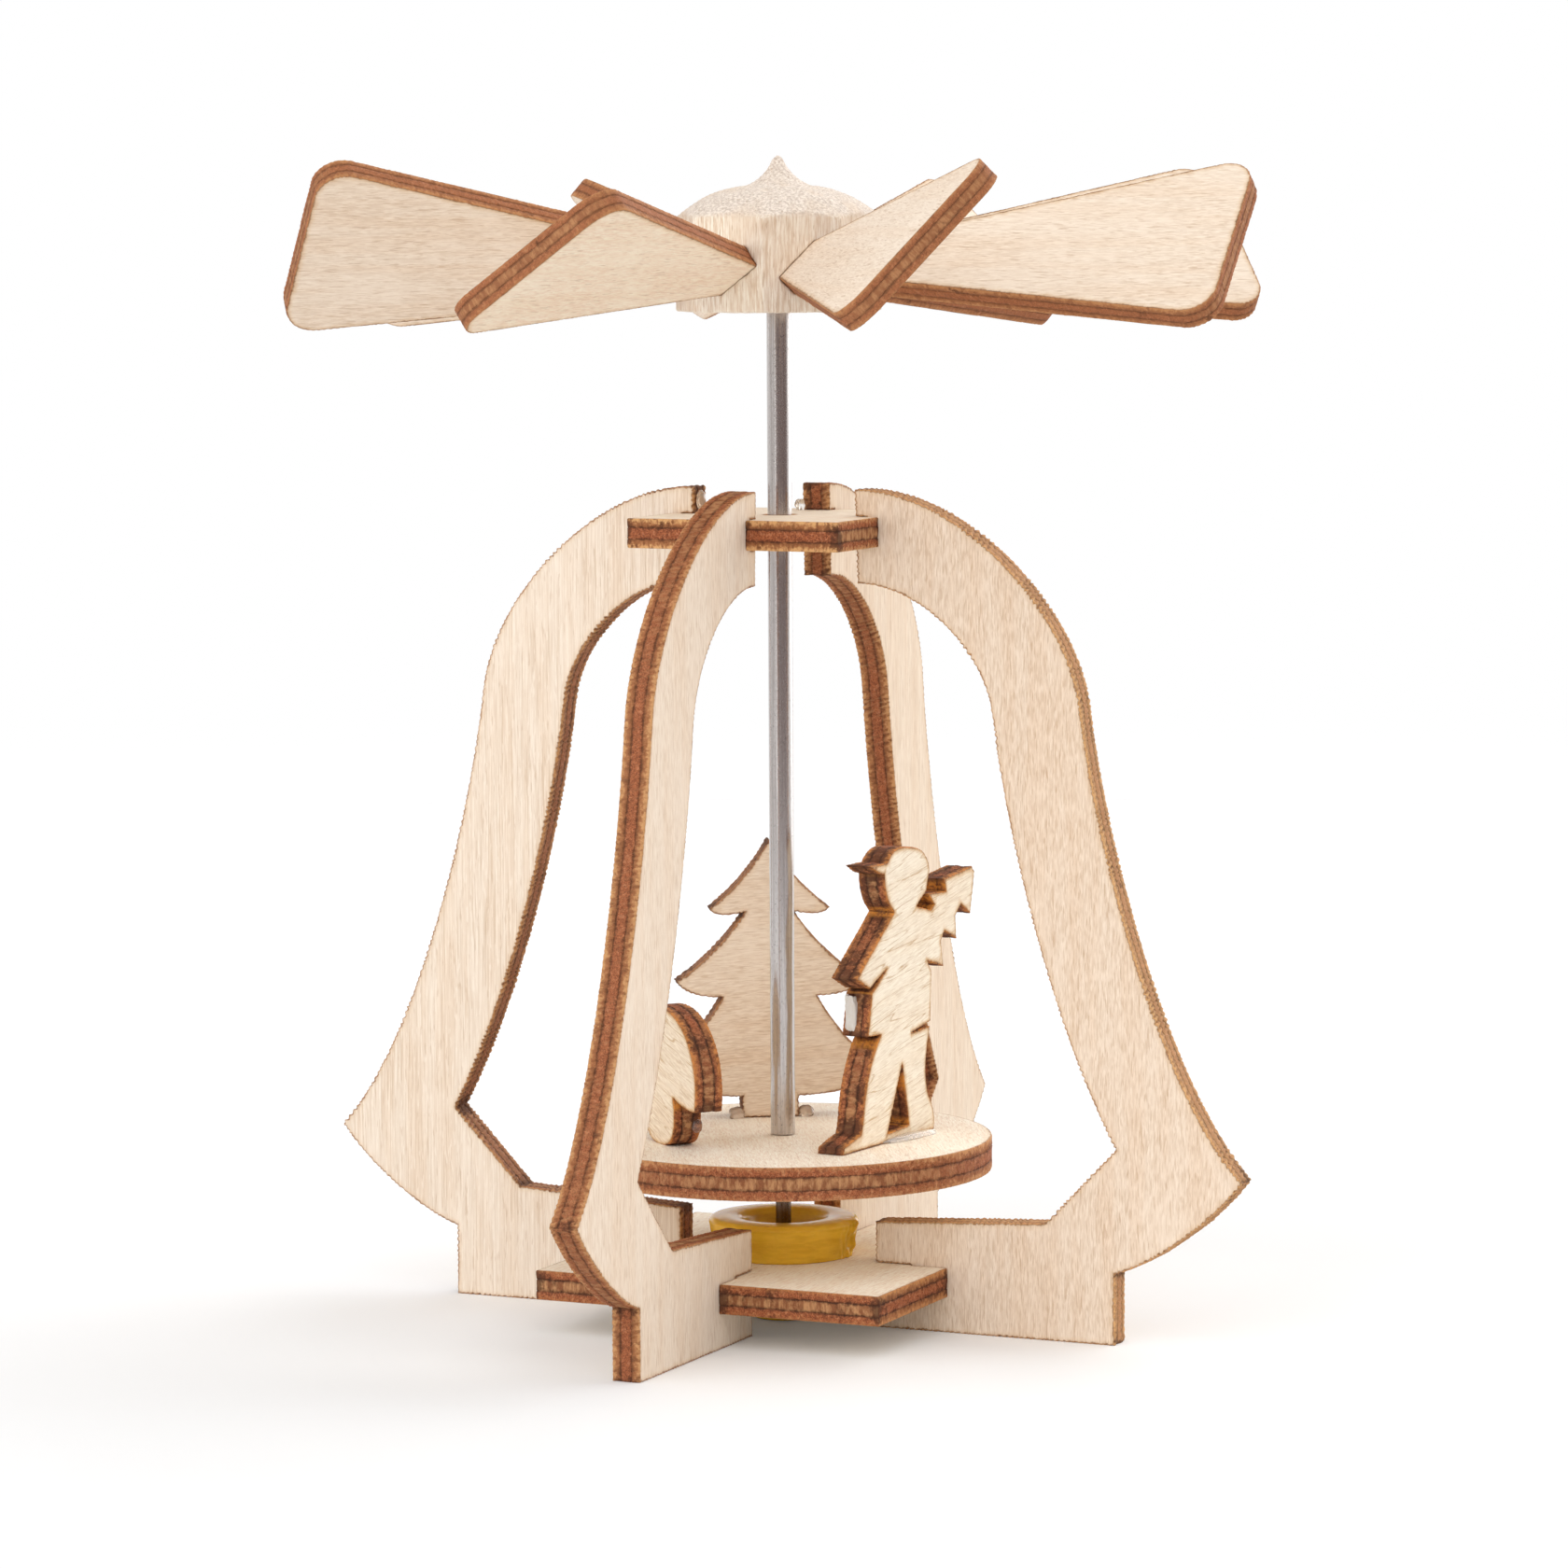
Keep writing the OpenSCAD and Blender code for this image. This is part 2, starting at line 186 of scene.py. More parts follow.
class Graph:
    """A node material in short notation: each method adds a node and returns its output socket."""

    def __init__(self, name):
        self.material = bpy.data.materials.new(name)
        self.material.use_nodes = True
        self.tree = self.material.node_tree
        self.tree.nodes.clear()

    def node(self, kind, inputs, output=0, **settings):
        made = self.tree.nodes.new("ShaderNode" + kind)
        for key, value in settings.items():
            setattr(made, key, value)
        for key, value in inputs.items():
            if isinstance(value, bpy.types.NodeSocket):
                self.tree.links.new(value, made.inputs[key])
            else:
                made.inputs[key].default_value = value
        return made.outputs[output] if made.outputs else None

    def position(self, seed):
        """Place on the piece in millimetres, shifted in its plane so that no two pieces look alike."""
        place = self.node("TexCoord", {}, "Object")
        shift = tuple(step * seed for step in TEXTURE_SHIFT)
        inputs = {0: place, 1: (1 / MM,) * 3, 2: shift}
        return self.node("VectorMath", inputs, operation="MULTIPLY_ADD")

    def axis(self, place, name):
        return self.node("SeparateXYZ", {0: place}, name)

    def facing(self, name):
        """How far the surface faces along one of the piece's axes."""
        return self.axis(self.node("TexCoord", {}, "Normal"), name)

    def value(self, name):
        """A value that the mesh holds at each of its points."""
        return self.node("Attribute", {}, "Fac", attribute_name=name)

    def noise(self, place, scales, detail=2.0, roughness=0.5):
        """Cloudy value from 0 to 1, with scales as features per millimetre along each axis."""
        spread = self.node("VectorMath", {0: place, 1: scales}, operation="MULTIPLY")
        inputs = {"Vector": spread, "Scale": 1.0, "Detail": detail, "Roughness": roughness}
        return self.node("TexNoise", inputs, "Fac")

    def math(self, operation, first, second=0.0):
        return self.node("Math", {0: first, 1: second}, operation=operation)

    def times(self, first, second):
        return self.math("MULTIPLY", first, second)

    def plus(self, first, second):
        return self.math("ADD", first, second)

    def minus(self, first, second):
        return self.math("SUBTRACT", first, second)

    def size(self, value):
        """The value without its sign."""
        return self.math("ABSOLUTE", value)

    def line(self, value, slope, start):
        """start where the value is 0, rising by slope."""
        return self.node("Math", {0: value, 1: slope, 2: start}, operation="MULTIPLY_ADD")

    def between(self, value, low, high):
        """0 at low, 1 at high and smooth between them; low may be above high."""
        inputs = {"Value": value, "From Min": low, "From Max": high}
        return self.node("MapRange", inputs, interpolation_type="SMOOTHSTEP")

    def mix(self, factor, first, second, blend="MIX"):
        def four(colour):
            return (*colour, 1.0) if isinstance(colour, tuple) else colour
        inputs = {0: factor, 6: four(first), 7: four(second)}
        return self.node("Mix", inputs, 2, data_type="RGBA", blend_type=blend)

    def blend(self, under, over, value, low, high, share):
        """The under colour, with the over colour's part growing from none at low to the share at high."""
        return self.mix(self.times(self.between(value, low, high), share), under, over)

    def bump(self, height, distance, strength):
        return self.node("Bump", {"Height": height, "Distance": distance, "Strength": strength})

    def surface(self, **inputs):
        """Ends the material with one principled shader; a name like Base_Color stands for its socket."""
        sockets = {key.replace("_", " "): value for key, value in inputs.items()}
        shader = self.node("BsdfPrincipled", sockets)
        self.node("OutputMaterial", {"Surface": shader})
        return self.material


def birch_face(name, seed, veneer):
    """Sanded birch veneer with its grain along local X and a scorched fringe along the laser cut."""
    g = Graph(name)
    flat = g.position(seed)
    drift = g.noise(flat, (0.10, 0.25, 0.25))
    inputs = {0: drift, 1: (0.0, veneer.drift, 0.0), 2: flat}
    place = g.node("VectorMath", inputs, operation="MULTIPLY_ADD")
    fibres = g.noise(place, (veneer.length, 4.6, 4.6), 3.0, 0.65)
    threads = g.noise(place, (1.3 * veneer.length, 6.5, 6.5), 1.0)
    hairs = g.noise(place, (1.0, 11.0, 11.0))
    bands = g.noise(place, (0.03, 0.55, 0.55))
    clouds = g.noise(flat, (0.10, 0.18, 0.18))
    dashes = g.noise(place, (0.50, 4.4, 4.4), 1.0)
    flecks = g.noise(place, (0.60, 5.6, 5.6), 1.0)

    dark = tinted(veneer.tone, DARK_FIBRE, veneer.contrast)
    pale = tinted(veneer.tone, PALE_FIBRE, veneer.contrast)
    soft = tinted(veneer.tone, DARK_FIBRE, 0.5 * veneer.contrast)
    colour = g.mix(g.between(fibres, 0.30, 0.70), soft, pale)
    thread_share = g.times(g.between(threads, 0.55, 0.68), 0.75)
    colour = g.mix(thread_share, colour, dark)
    hair_share = g.times(g.between(hairs, 0.60, 0.38), 0.25 * veneer.contrast)
    colour = g.mix(hair_share, colour, dark)
    colour = g.mix(g.between(bands, 0.38, 0.66), colour, g.mix(1.0, colour, PINK_BAND, "MULTIPLY"))
    colour = g.blend(colour, pale, clouds, 0.40, 0.75, 0.35)
    pore_share = g.times(g.between(dashes, 0.62, 0.71), veneer.pores)
    colour = g.mix(pore_share, colour, PORE_BROWN)
    colour = g.blend(colour, pale, flecks, 0.61, 0.70, 0.55)
    if veneer.furrows:
        swing = g.noise(place, (0.07, 0.85, 0.85), 1.0)
        crest = g.size(g.minus(swing, 0.5))
        cut = g.times(g.between(crest, 0.022, 0.0), g.between(fibres, 0.38, 0.56))
        pore_share = g.math("MAXIMUM", pore_share, g.times(cut, veneer.furrows))
        colour = g.mix(g.times(cut, veneer.furrows), colour, FURROW_BROWN)

    # Scorched fringe
    scorch = g.value("scorch")
    patches = g.noise(flat, (0.9, 0.9, 0.9), 3.0, 0.6)
    burnt = g.plus(scorch, g.times(g.minus(patches, 0.5), 0.75))
    colour = g.blend(colour, SCORCH_AMBER, burnt, 0.18, 0.75, 0.75 * veneer.stain)
    colour = g.blend(colour, SCORCH_BROWN, burnt, 0.66, 1.05, 0.85)

    relief = g.minus(g.times(fibres, 0.6), pore_share)
    relief = g.minus(relief, g.times(thread_share, 0.5))
    relief = g.plus(relief, g.times(hairs, 0.5))
    roughness = g.line(fibres, 0.20, 0.52)
    normal = g.bump(relief, 0.030 * MM, 0.9)
    return g.surface(Base_Color=colour, Roughness=roughness, Normal=normal, Specular_IOR_Level=0.22)


def laser_edge(name, seed, half, veneer):
    """Charred cut through three plies. A ply cut along its grain is tan with dark ticks, and one cut across
    it is red-brown and granular; the outer plies' grain is along local X and the core's along local Y."""
    g = Graph(name)
    place = g.position(seed)
    sway = g.times(g.minus(g.noise(place, (0.8, 0.8, 0.8)), 0.5), 0.28)
    layer = g.size(g.plus(g.axis(place, "Z"), sway))
    ticks = g.noise(place, (1.7, 1.7, 0.75), 3.0, 0.6)
    lines = g.noise(place, (4.4, 4.4, 0.6), 2.0, 0.6)
    grains = g.noise(place, (7.5, 7.5, 7.5), 2.0, 0.65)
    blots = g.noise(place, (2.4, 2.4, 2.4), 3.0, 0.6)
    zones = g.noise(place, (0.40, 0.40, 0.40), 3.0)
    glue = GLUE_SHARE * half

    # Plies along and across their grain
    facing = g.facing("X")
    across = g.times(facing, facing)
    uneven = g.plus(layer, g.line(blots, -1.1 * half, 0.55 * half))
    ticked = g.mix(g.between(uneven, glue, half), LONG_BROWN, LONG_TAN)
    ticked = g.blend(ticked, TICK_DARK, ticks, 0.50, 0.68, 0.60)
    ticked = g.blend(ticked, LONG_BROWN, lines, 0.48, 0.70, 0.50)
    granular = g.mix(g.between(grains, 0.36, 0.66), END_RED, END_DARK)
    granular = g.blend(granular, END_DARK, blots, 0.50, 0.70, 0.60)
    # Painted highlights on the granules
    granular = g.blend(granular, END_GLINT, blots, 0.46, 0.30, 0.45)
    core_ticked = g.mix(g.between(ticks, 0.38, 0.62), CORE_TAN, CORE_BROWN)
    core_ticked = g.blend(core_ticked, CORE_BROWN, lines, 0.48, 0.70, 0.65)
    outer = g.mix(across, ticked, granular)
    core = g.mix(across, granular, core_ticked)
    colour = g.mix(g.between(layer, glue - 0.04, glue + 0.04), core, outer)

    # Rims, glue lines, wash, dark specks, and pale specks that are painted highlights
    outermost = g.between(uneven, 0.62 * half, 0.98 * half)
    rim_share = g.times(outermost, g.between(ticks, 0.66, 0.50))
    rim_share = g.times(rim_share, g.line(across, -0.5, 1.0))
    redness = min(1.0, 1.5 * veneer.char)
    rim = tuple(gold + (amber - gold) * redness for gold, amber in zip(RIM_GOLD, RIM_AMBER))
    colour = g.mix(g.times(rim_share, veneer.gold), colour, rim)
    off_line = g.size(g.minus(layer, glue))
    soot = g.between(g.plus(off_line, g.line(blots, -0.9, 0.45)), 0.30, 0.0)
    colour = g.mix(g.times(soot, 0.25 + 0.5 * veneer.char), colour, CHAR_DARK)
    line_share = g.between(g.plus(off_line, g.line(blots, -0.30, 0.15)), 0.11, 0.02)
    line_share = g.times(line_share, g.between(ticks, 0.34, 0.56))
    colour = g.mix(g.times(line_share, 0.40 + 0.75 * veneer.char), colour, GLUE_LINE)
    colour = g.mix(veneer.even, colour, veneer.wash)
    colour = g.blend(colour, CHAR_DARK, grains, 0.60, 0.76, 0.50)
    colour = g.blend(colour, END_GLINT, grains, 0.40, 0.26, 0.35)

    # Ridges: painted shade in their valleys and painted highlights on their crests
    wave = g.value("wave")
    waviness = min(1.0, max(0.0, (veneer.ridge - FAINT_RIDGE) / (DEEP_RIDGE - FAINT_RIDGE)))
    patches = g.between(blots, 0.38, 0.60)
    patchy = g.times(patches, g.line(g.between(layer, 0.0, half), 0.75, 0.25))
    valley_shade = g.times(g.between(wave, 0.05, -0.60), patchy)
    crest = g.times(g.between(wave, 0.05, 0.60), patchy)
    colour = g.mix(g.times(valley_shade, 0.70 * waviness), colour, TICK_DARK)
    colour = g.mix(g.times(crest, 0.40 * waviness), colour, RIM_GOLD)

    # Charred zones; corners darkened, partly as char where the laser dwells and partly as painted shade
    # where parts meet; and painted warm bounce light in narrow notches
    corner = g.value("corner")
    burnt = g.plus(zones, g.line(blots, 0.5, -0.25))
    burnt = g.plus(burnt, g.times(corner, 0.42))
    calm = 0.72 - 0.36 * veneer.char
    char_share = g.times(g.between(burnt, calm, calm + 0.22), g.line(rim_share, -0.55, 0.72))
    colour = g.mix(char_share, colour, CHAR_DARK)
    # Painted light: warm light that bounces inside narrow notches
    notch = g.value("notch")
    notch_bounce_share = g.times(notch, g.between(blots, 0.30, 0.60))
    colour = g.mix(g.times(notch_bounce_share, 0.85 * veneer.stain), colour, NOTCH_BOUNCE_AMBER)

    relief = g.plus(grains, g.times(lines, 0.8))
    relief = g.minus(relief, line_share)
    roughness = g.line(blots, 0.30, 0.52)
    normal = g.bump(relief, 0.08 * MM, 0.8)
    return g.surface(Base_Color=colour, Roughness=roughness, Normal=normal, Specular_IOR_Level=0.12)


def turned_wood(name):
    """Pale wood of the hub, with upright fibres on its flats, painted shade on the flats that face along X,
    and a fuzzy turned roof.
    """
    g = Graph(name)
    place = g.position(0)
    height = g.axis(place, "Z")
    roof = g.between(height, HUB_EAVE - EAVE_BELOW, HUB_EAVE + EAVE_ABOVE)
    fibres = g.noise(place, (5.5, 5.5, 0.45), 3.0, 0.6)
    fuzz = g.noise(place, (3.6, 3.6, 3.6), 4.0, 0.65)
    clouds = g.noise(place, (0.35, 0.35, 0.12), 2.0)
    side_shade = g.size(g.facing("X"))
    pores = g.noise(place, (4.2, 4.2, 0.6), 1.0)

    dark = tinted(HUB_FLAT, DARK_FIBRE, 1.1)
    pale = tinted(HUB_FLAT, PALE_FIBRE)
    flats = g.mix(g.between(fibres, 0.30, 0.70), dark, pale)
    # Painted shade: the flats that face along X are darker
    flats = g.mix(g.between(side_shade, 0.25, 0.75), flats, g.mix(1.0, flats, HUB_SIDE_SHADE, "MULTIPLY"))
    cap = g.mix(g.between(fuzz, 0.30, 0.70), HUB_ROOF_DARK, HUB_ROOF_PALE)
    colour = g.mix(roof, flats, cap)
    colour = g.blend(colour, tinted(HUB_FLAT, DARK_FIBRE), clouds, 0.45, 0.75, 0.45)
    pore_share = g.times(g.between(pores, 0.64, 0.72), 0.40)
    colour = g.mix(pore_share, colour, PORE_BROWN)

    relief = g.plus(fuzz, fibres)
    relief = g.minus(relief, pore_share)
    roughness = g.line(fuzz, 0.20, 0.58)
    normal = g.bump(relief, 0.07 * MM, 0.9)
    return g.surface(Base_Color=colour, Roughness=roughness, Normal=normal, Specular_IOR_Level=0.25)


def drawn_steel(name):
    """Drawn steel wire: fine lines along its length, small dull specks, and painted shade darkening its pin
    below the turntable.
    """
    g = Graph(name)
    place = g.position(0)
    lines = g.noise(place, (9.0, 9.0, 0.06), 3.0, 0.6)
    specks = g.noise(place, (7.0, 7.0, 3.0), 2.0, 0.6)
    colour = g.mix(g.between(lines, 0.35, 0.68), STEEL_DARK, STEEL_PALE)
    colour = g.blend(colour, STEEL_DULL, specks, 0.52, 0.70, 0.55)
    height = g.axis(place, "Z")
    # Painted shade on the pin below the turntable, which keeps the light off it
    pin_shade = g.between(height, PIN_TOP + PIN_SHADE_FADE, PIN_TOP - PIN_SHADE_FADE)
    colour = g.mix(pin_shade, colour, g.mix(1.0, colour, PIN_SHADE_TINT, "MULTIPLY"))
    roughness = g.line(specks, 0.16, 0.17)
    normal = g.bump(g.plus(lines, specks), 0.005 * MM, 0.5)
    return g.surface(Base_Color=colour, Metallic=1.0, Roughness=roughness, Normal=normal)


def moulded_plastic(name):
    """Glossy mustard plastic with faint flow marks."""
    g = Graph(name)
    place = g.position(0)
    flow = g.noise(place, (0.35, 0.35, 1.6), 3.0, 0.6)
    grime = g.noise(place, (2.0, 2.0, 2.0), 2.0)
    colour = g.mix(g.between(flow, 0.35, 0.65), CUP_DEEP, CUP_YELLOW)
    colour = g.blend(colour, CUP_DEEP, grime, 0.60, 0.75, 0.35)
    roughness = g.line(grime, 0.14, 0.10)
    normal = g.bump(g.plus(flow, g.times(grime, 0.3)), 0.06 * MM, 0.7)
    return g.surface(Base_Color=colour, Roughness=roughness, Normal=normal, Specular_IOR_Level=0.28,
                     Subsurface_Weight=0.30, Subsurface_Radius=CUP_GLOW)


def hot_glue(name, clear, tint):
    """Set hot glue: uneven, and more or less clear."""
    g = Graph(name)
    place = g.position(0)
    milk = g.noise(place, (1.6, 1.6, 1.6), 2.0)
    ripples = g.noise(place, (3.0, 3.0, 3.0), 2.0)
    colour = g.mix(g.between(milk, 0.35, 0.70), tint, tinted(tint, GLUE_HAZE))
    roughness = g.line(milk, 0.20, 0.04)
    normal = g.bump(ripples, 0.05 * MM, 0.6)
    return g.surface(Base_Color=colour, Roughness=roughness, Normal=normal,
                     Transmission_Weight=clear, IOR=GLUE_IOR)


def shade_smooth(mesh):
    mesh.polygons.foreach_set("use_smooth", np.ones(len(mesh.polygons), bool))


def new_piece(name, mesh, body, *materials, place=None, node=None, slot=None):
    """Adds a piece that rides on a body, and that may stand for a CAD node. Its slot is not used."""
    piece = bpy.data.objects.new(name, mesh)
    bpy.context.scene.collection.objects.link(piece)
    for material in materials:
        mesh.materials.append(material)
    if place:
        piece.matrix_world = place
    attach(piece, body)
    if node:
        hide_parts(node)


def plate_place(node, grain_angle):
    """Matrix of a flat piece's own axes: X along its grain, Z across its thickness, origin in its middle.
    The grain angle is measured from level, as seen from the side that faces the camera."""
    def lie(face):
        """How a face lies, whichever way it looks."""
        return tuple(round(abs(value), 2) for value in face.normal)

    mesh = node.data
    areas = {}
    for face in mesh.polygons:
        areas[lie(face)] = areas.get(lie(face), 0.0) + face.area
    flat = max(areas, key=areas.get)
    towards = Vector((math.sin(CAMERA_TURN), -math.cos(CAMERA_TURN), TOWARDS_RISE))
    normals = [face.normal for face in mesh.polygons if lie(face) == flat]
    normal = next(n for n in normals if n.dot(towards) > 0).normalized()
    level = UP.cross(normal)
    level = level.normalized() if level.length > LEVEL_LIMIT else Vector((1, 0, 0))
    rise = normal.cross(level)
    grain = level * math.cos(grain_angle) + rise * math.sin(grain_angle)
    axes = Matrix((grain, normal.cross(grain), normal)).transposed()
    local = np.array([v.co for v in mesh.vertices]) @ np.array(axes)
    middle = axes @ Vector((local.min(0) + local.max(0)) / 2)
    half = (local[:, 2].max() - local[:, 2].min()) / 2
    return Matrix.Translation(middle) @ axes.to_4x4(), half / MM


def face_outlines(node, place):
    """Closed outlines of a flat piece's upper face, in its own axes and with wood on their left."""
    bm = bmesh.new()
    bm.from_mesh(node.data)
    bmesh.ops.remove_doubles(bm, verts=bm.verts, dist=WELD_GAP)
    bm.transform(place.inverted())
    bm.normal_update()
    face = {f for f in bm.faces if f.normal.z > FACE_ALIGNMENT}
    ahead = {}
    for f in face:
        for corner in f.loops:
            if not any(other in face for other in corner.edge.link_faces if other is not f):
                ahead[corner.vert.index] = corner.link_loop_next.vert.index
    bm.verts.ensure_lookup_table()
    spots = {index: bm.verts[index].co.xy.copy() for index in ahead}
    bm.free()
    outlines = []
    while ahead:
        start, step = next(iter(ahead.items()))
        chain = [start]
        while step != start:
            chain.append(step)
            step = ahead.pop(step)
        ahead.pop(start)
        outlines.append(np.array([spots[index] for index in chain]) / MM)
    return outlines


def smooth_span(points):
    """Evenly spaced points on a smooth curve through the given ones, up to just before the last."""
    steps = np.linalg.norm(np.diff(points, axis=0), axis=1)
    reach = np.concatenate([[0.0], np.cumsum(steps)])
    count = max(1, round(reach[-1] / POINT_SPACING))
    wanted = np.linspace(0.0, reach[-1], count, endpoint=False)
    slopes = np.diff(points, axis=0) / steps[:, None]
    tangents = np.vstack([slopes[:1], slopes])
    if len(steps) > 1:
        weighed = slopes[1:] * steps[:-1, None] + slopes[:-1] * steps[1:, None]
        inner = weighed / (steps[1:] + steps[:-1])[:, None]
        tangents[1:-1] = inner
        tangents[0] = 2 * slopes[0] - inner[0]
        tangents[-1] = 2 * slopes[-1] - inner[-1]
    index = np.clip(np.searchsorted(reach, wanted, side="right") - 1, 0, len(steps) - 1)
    length = steps[index][:, None]
    t = ((wanted - reach[index]) / steps[index])[:, None]
    return (
        points[index] * (2 * t**3 - 3 * t**2 + 1) + points[index + 1] * (3 * t**2 - 2 * t**3)
        + tangents[index] * (t**3 - 2 * t**2 + t) * length + tangents[index + 1] * (t**3 - t**2) * length
    )


def is_corner(outline):
    """Which points of an outline are sharp corners."""
    edges = np.roll(outline, -1, axis=0) - outline
    heading = np.arctan2(edges[:, 1], edges[:, 0])
    turn = (heading - np.roll(heading, 1) + math.pi) % (2 * math.pi) - math.pi
    return np.abs(turn) > CORNER_TURN


def smooth_outline(outline):
    """The outline with its curves rounded off, and its corners and long straight edges kept."""
    straight = np.linalg.norm(np.roll(outline, -1, axis=0) - outline, axis=1) > LONG_EDGE
    breaks = np.flatnonzero(is_corner(outline) | straight | np.roll(straight, 1))
    if not len(breaks):
        breaks = np.array([0])
    ends = np.append(breaks[1:], breaks[0] + len(outline))
    wrapped = np.vstack([outline, outline, outline[:1]])
    return np.vstack([smooth_span(wrapped[a:b + 1]) for a, b in zip(breaks, ends)])


def inside(points, outlines):
    """Which points lie in the wood, by the even-odd rule."""
    a = np.vstack(outlines)
    b = np.vstack([np.roll(outline, -1, axis=0) for outline in outlines])
    x, y = points[:, :1], points[:, 1:]
    crosses = (a[:, 1] > y) != (b[:, 1] > y)
    rise = np.where(a[:, 1] == b[:, 1], 1.0, b[:, 1] - a[:, 1])
    at = a[:, 0] + (y - a[:, 1]) * (b[:, 0] - a[:, 0]) / rise
    return (crosses & (x < at)).sum(axis=1) % 2 == 1


def rim_tree(rim):
    """A search tree that finds the rim's nearest point."""
    tree = kdtree.KDTree(len(rim))
    for index, spot in enumerate(rim):
        tree.insert((*spot, 0.0), index)
    tree.balance()
    return tree


def corner_nearness(rim, corners):
    """How near each point of the rim is to a corner, from 1 at one to 0 far off. The cut is darkened there,
    partly as char where the laser dwells and partly as painted shade where parts meet.
    """
    away = np.full(len(rim), np.inf)
    for corner in corners:
        away = np.minimum(away, np.linalg.norm(rim - corner, axis=1))
    return np.exp(-away / CORNER_REACH)


def notched(rim, outward):
    """How closely other wood faces each point of the rim across a narrow notch, from 0 to 1."""
    tree = rim_tree(rim)
    away = np.array([tree.find((*spot, 0.0))[2] for spot in rim + outward * NOTCH_GAP])
    return np.clip((NOTCH_NEAR - away) / NOTCH_FADE, 0.0, 1.0)


def fringe_points(rim, outward, outlines):
    """Points a little inside the rim and on a grid over the face, and how scorched the face is at each."""
    tree = rim_tree(rim)
    spots, scorch = [], []
    for inset, burnt, step in FRINGE_ROWS:
        for spot in (rim - outward * inset)[::step]:
            if tree.find((*spot, 0.0))[2] > FRINGE_CLEARANCE * inset:
                spots.append(spot)
                scorch.append(burnt)
    low, high = rim.min(axis=0), rim.max(axis=0)
    for x in np.arange(low[0], high[0], GRID_STEP):
        for y in np.arange(low[1], high[1], GRID_STEP):
            if tree.find((x, y, 0.0))[2] > GRID_CLEARANCE:
                spots.append((x, y))
                scorch.append(0.0)
    kept = inside(np.array(spots), outlines)
    return np.array(spots)[kept], [burnt for burnt, keep in zip(scorch, kept) if keep]


def cap_triangles(outlines, fringe):
    """Triangles over the face, as indices into the rim's points followed by the fringe's."""
    points = np.vstack(outlines + [fringe])
    edges, start = [], 0
    for outline in outlines:
        count = len(outline)
        edges += [(start + i, start + (i + 1) % count) for i in range(count)]
        start += count
    spots = [Vector(point) for point in points]
    made = geometry.delaunay_2d_cdt(spots, edges, [], HULL_TRIANGLES, TRIANGLE_TOLERANCE)
    origin = [sources[0] for sources in made[3]]
    triangles = np.array([[origin[i] for i in face] for face in made[2]])
    triangles = triangles[inside(points[triangles].mean(axis=1), outlines)]
    first, second, third = (points[triangles[:, side]] for side in range(3))
    u, v = second - first, third - first
    clockwise = u[:, 0] * v[:, 1] - u[:, 1] * v[:, 0] < 0
    triangles[clockwise] = triangles[clockwise][:, ::-1]
    return triangles


def outward_normals(outline):
    """The direction out of the wood at each point of an outline."""
    run = np.roll(outline, -1, axis=0) - np.roll(outline, 1, axis=0)
    run /= np.linalg.norm(run, axis=1)[:, None]
    return np.column_stack([run[:, 1], -run[:, 0]])


def chance(outline, layer, scale):
    """Smooth chance values along an outline, from about -1 to 1. The scale is their changes to a
    millimetre, and each layer gives other values."""
    return np.array([noise.noise(Vector((*spot, layer)) * scale) for spot in outline])


def ridges(outline):
    """Phase and strength of the fine ridges that the laser leaves, a little stronger where it cuts the
    grain aslant."""
    steps = np.linalg.norm(np.roll(outline, -1, axis=0) - outline, axis=1)
    turns = max(1, round(steps.sum() / RIDGE_PITCH))
    phase = (np.cumsum(steps) - steps) / steps.sum() * turns
    wander = RIDGE_WANDER * chance(outline, layer=3.1, scale=0.6)
    strength = np.clip(0.6 + 1.2 * chance(outline, layer=8.3, scale=0.35), FAINTEST_RIDGE, 1.0)
    aslant = np.abs(2 * np.prod(outward_normals(outline), axis=1))
    return phase + wander, strength * (0.70 + 0.30 * aslant)


def ragged(spot, depth, seed):
    """How far the laser cut stands out at a place by chance, in millimetres."""
    place = Vector((spot[0] + BUMP_SHIFT * seed, spot[1], depth))
    return sum(height * noise.noise(place * scale) for height, scale in RAGGED_BUMPS)


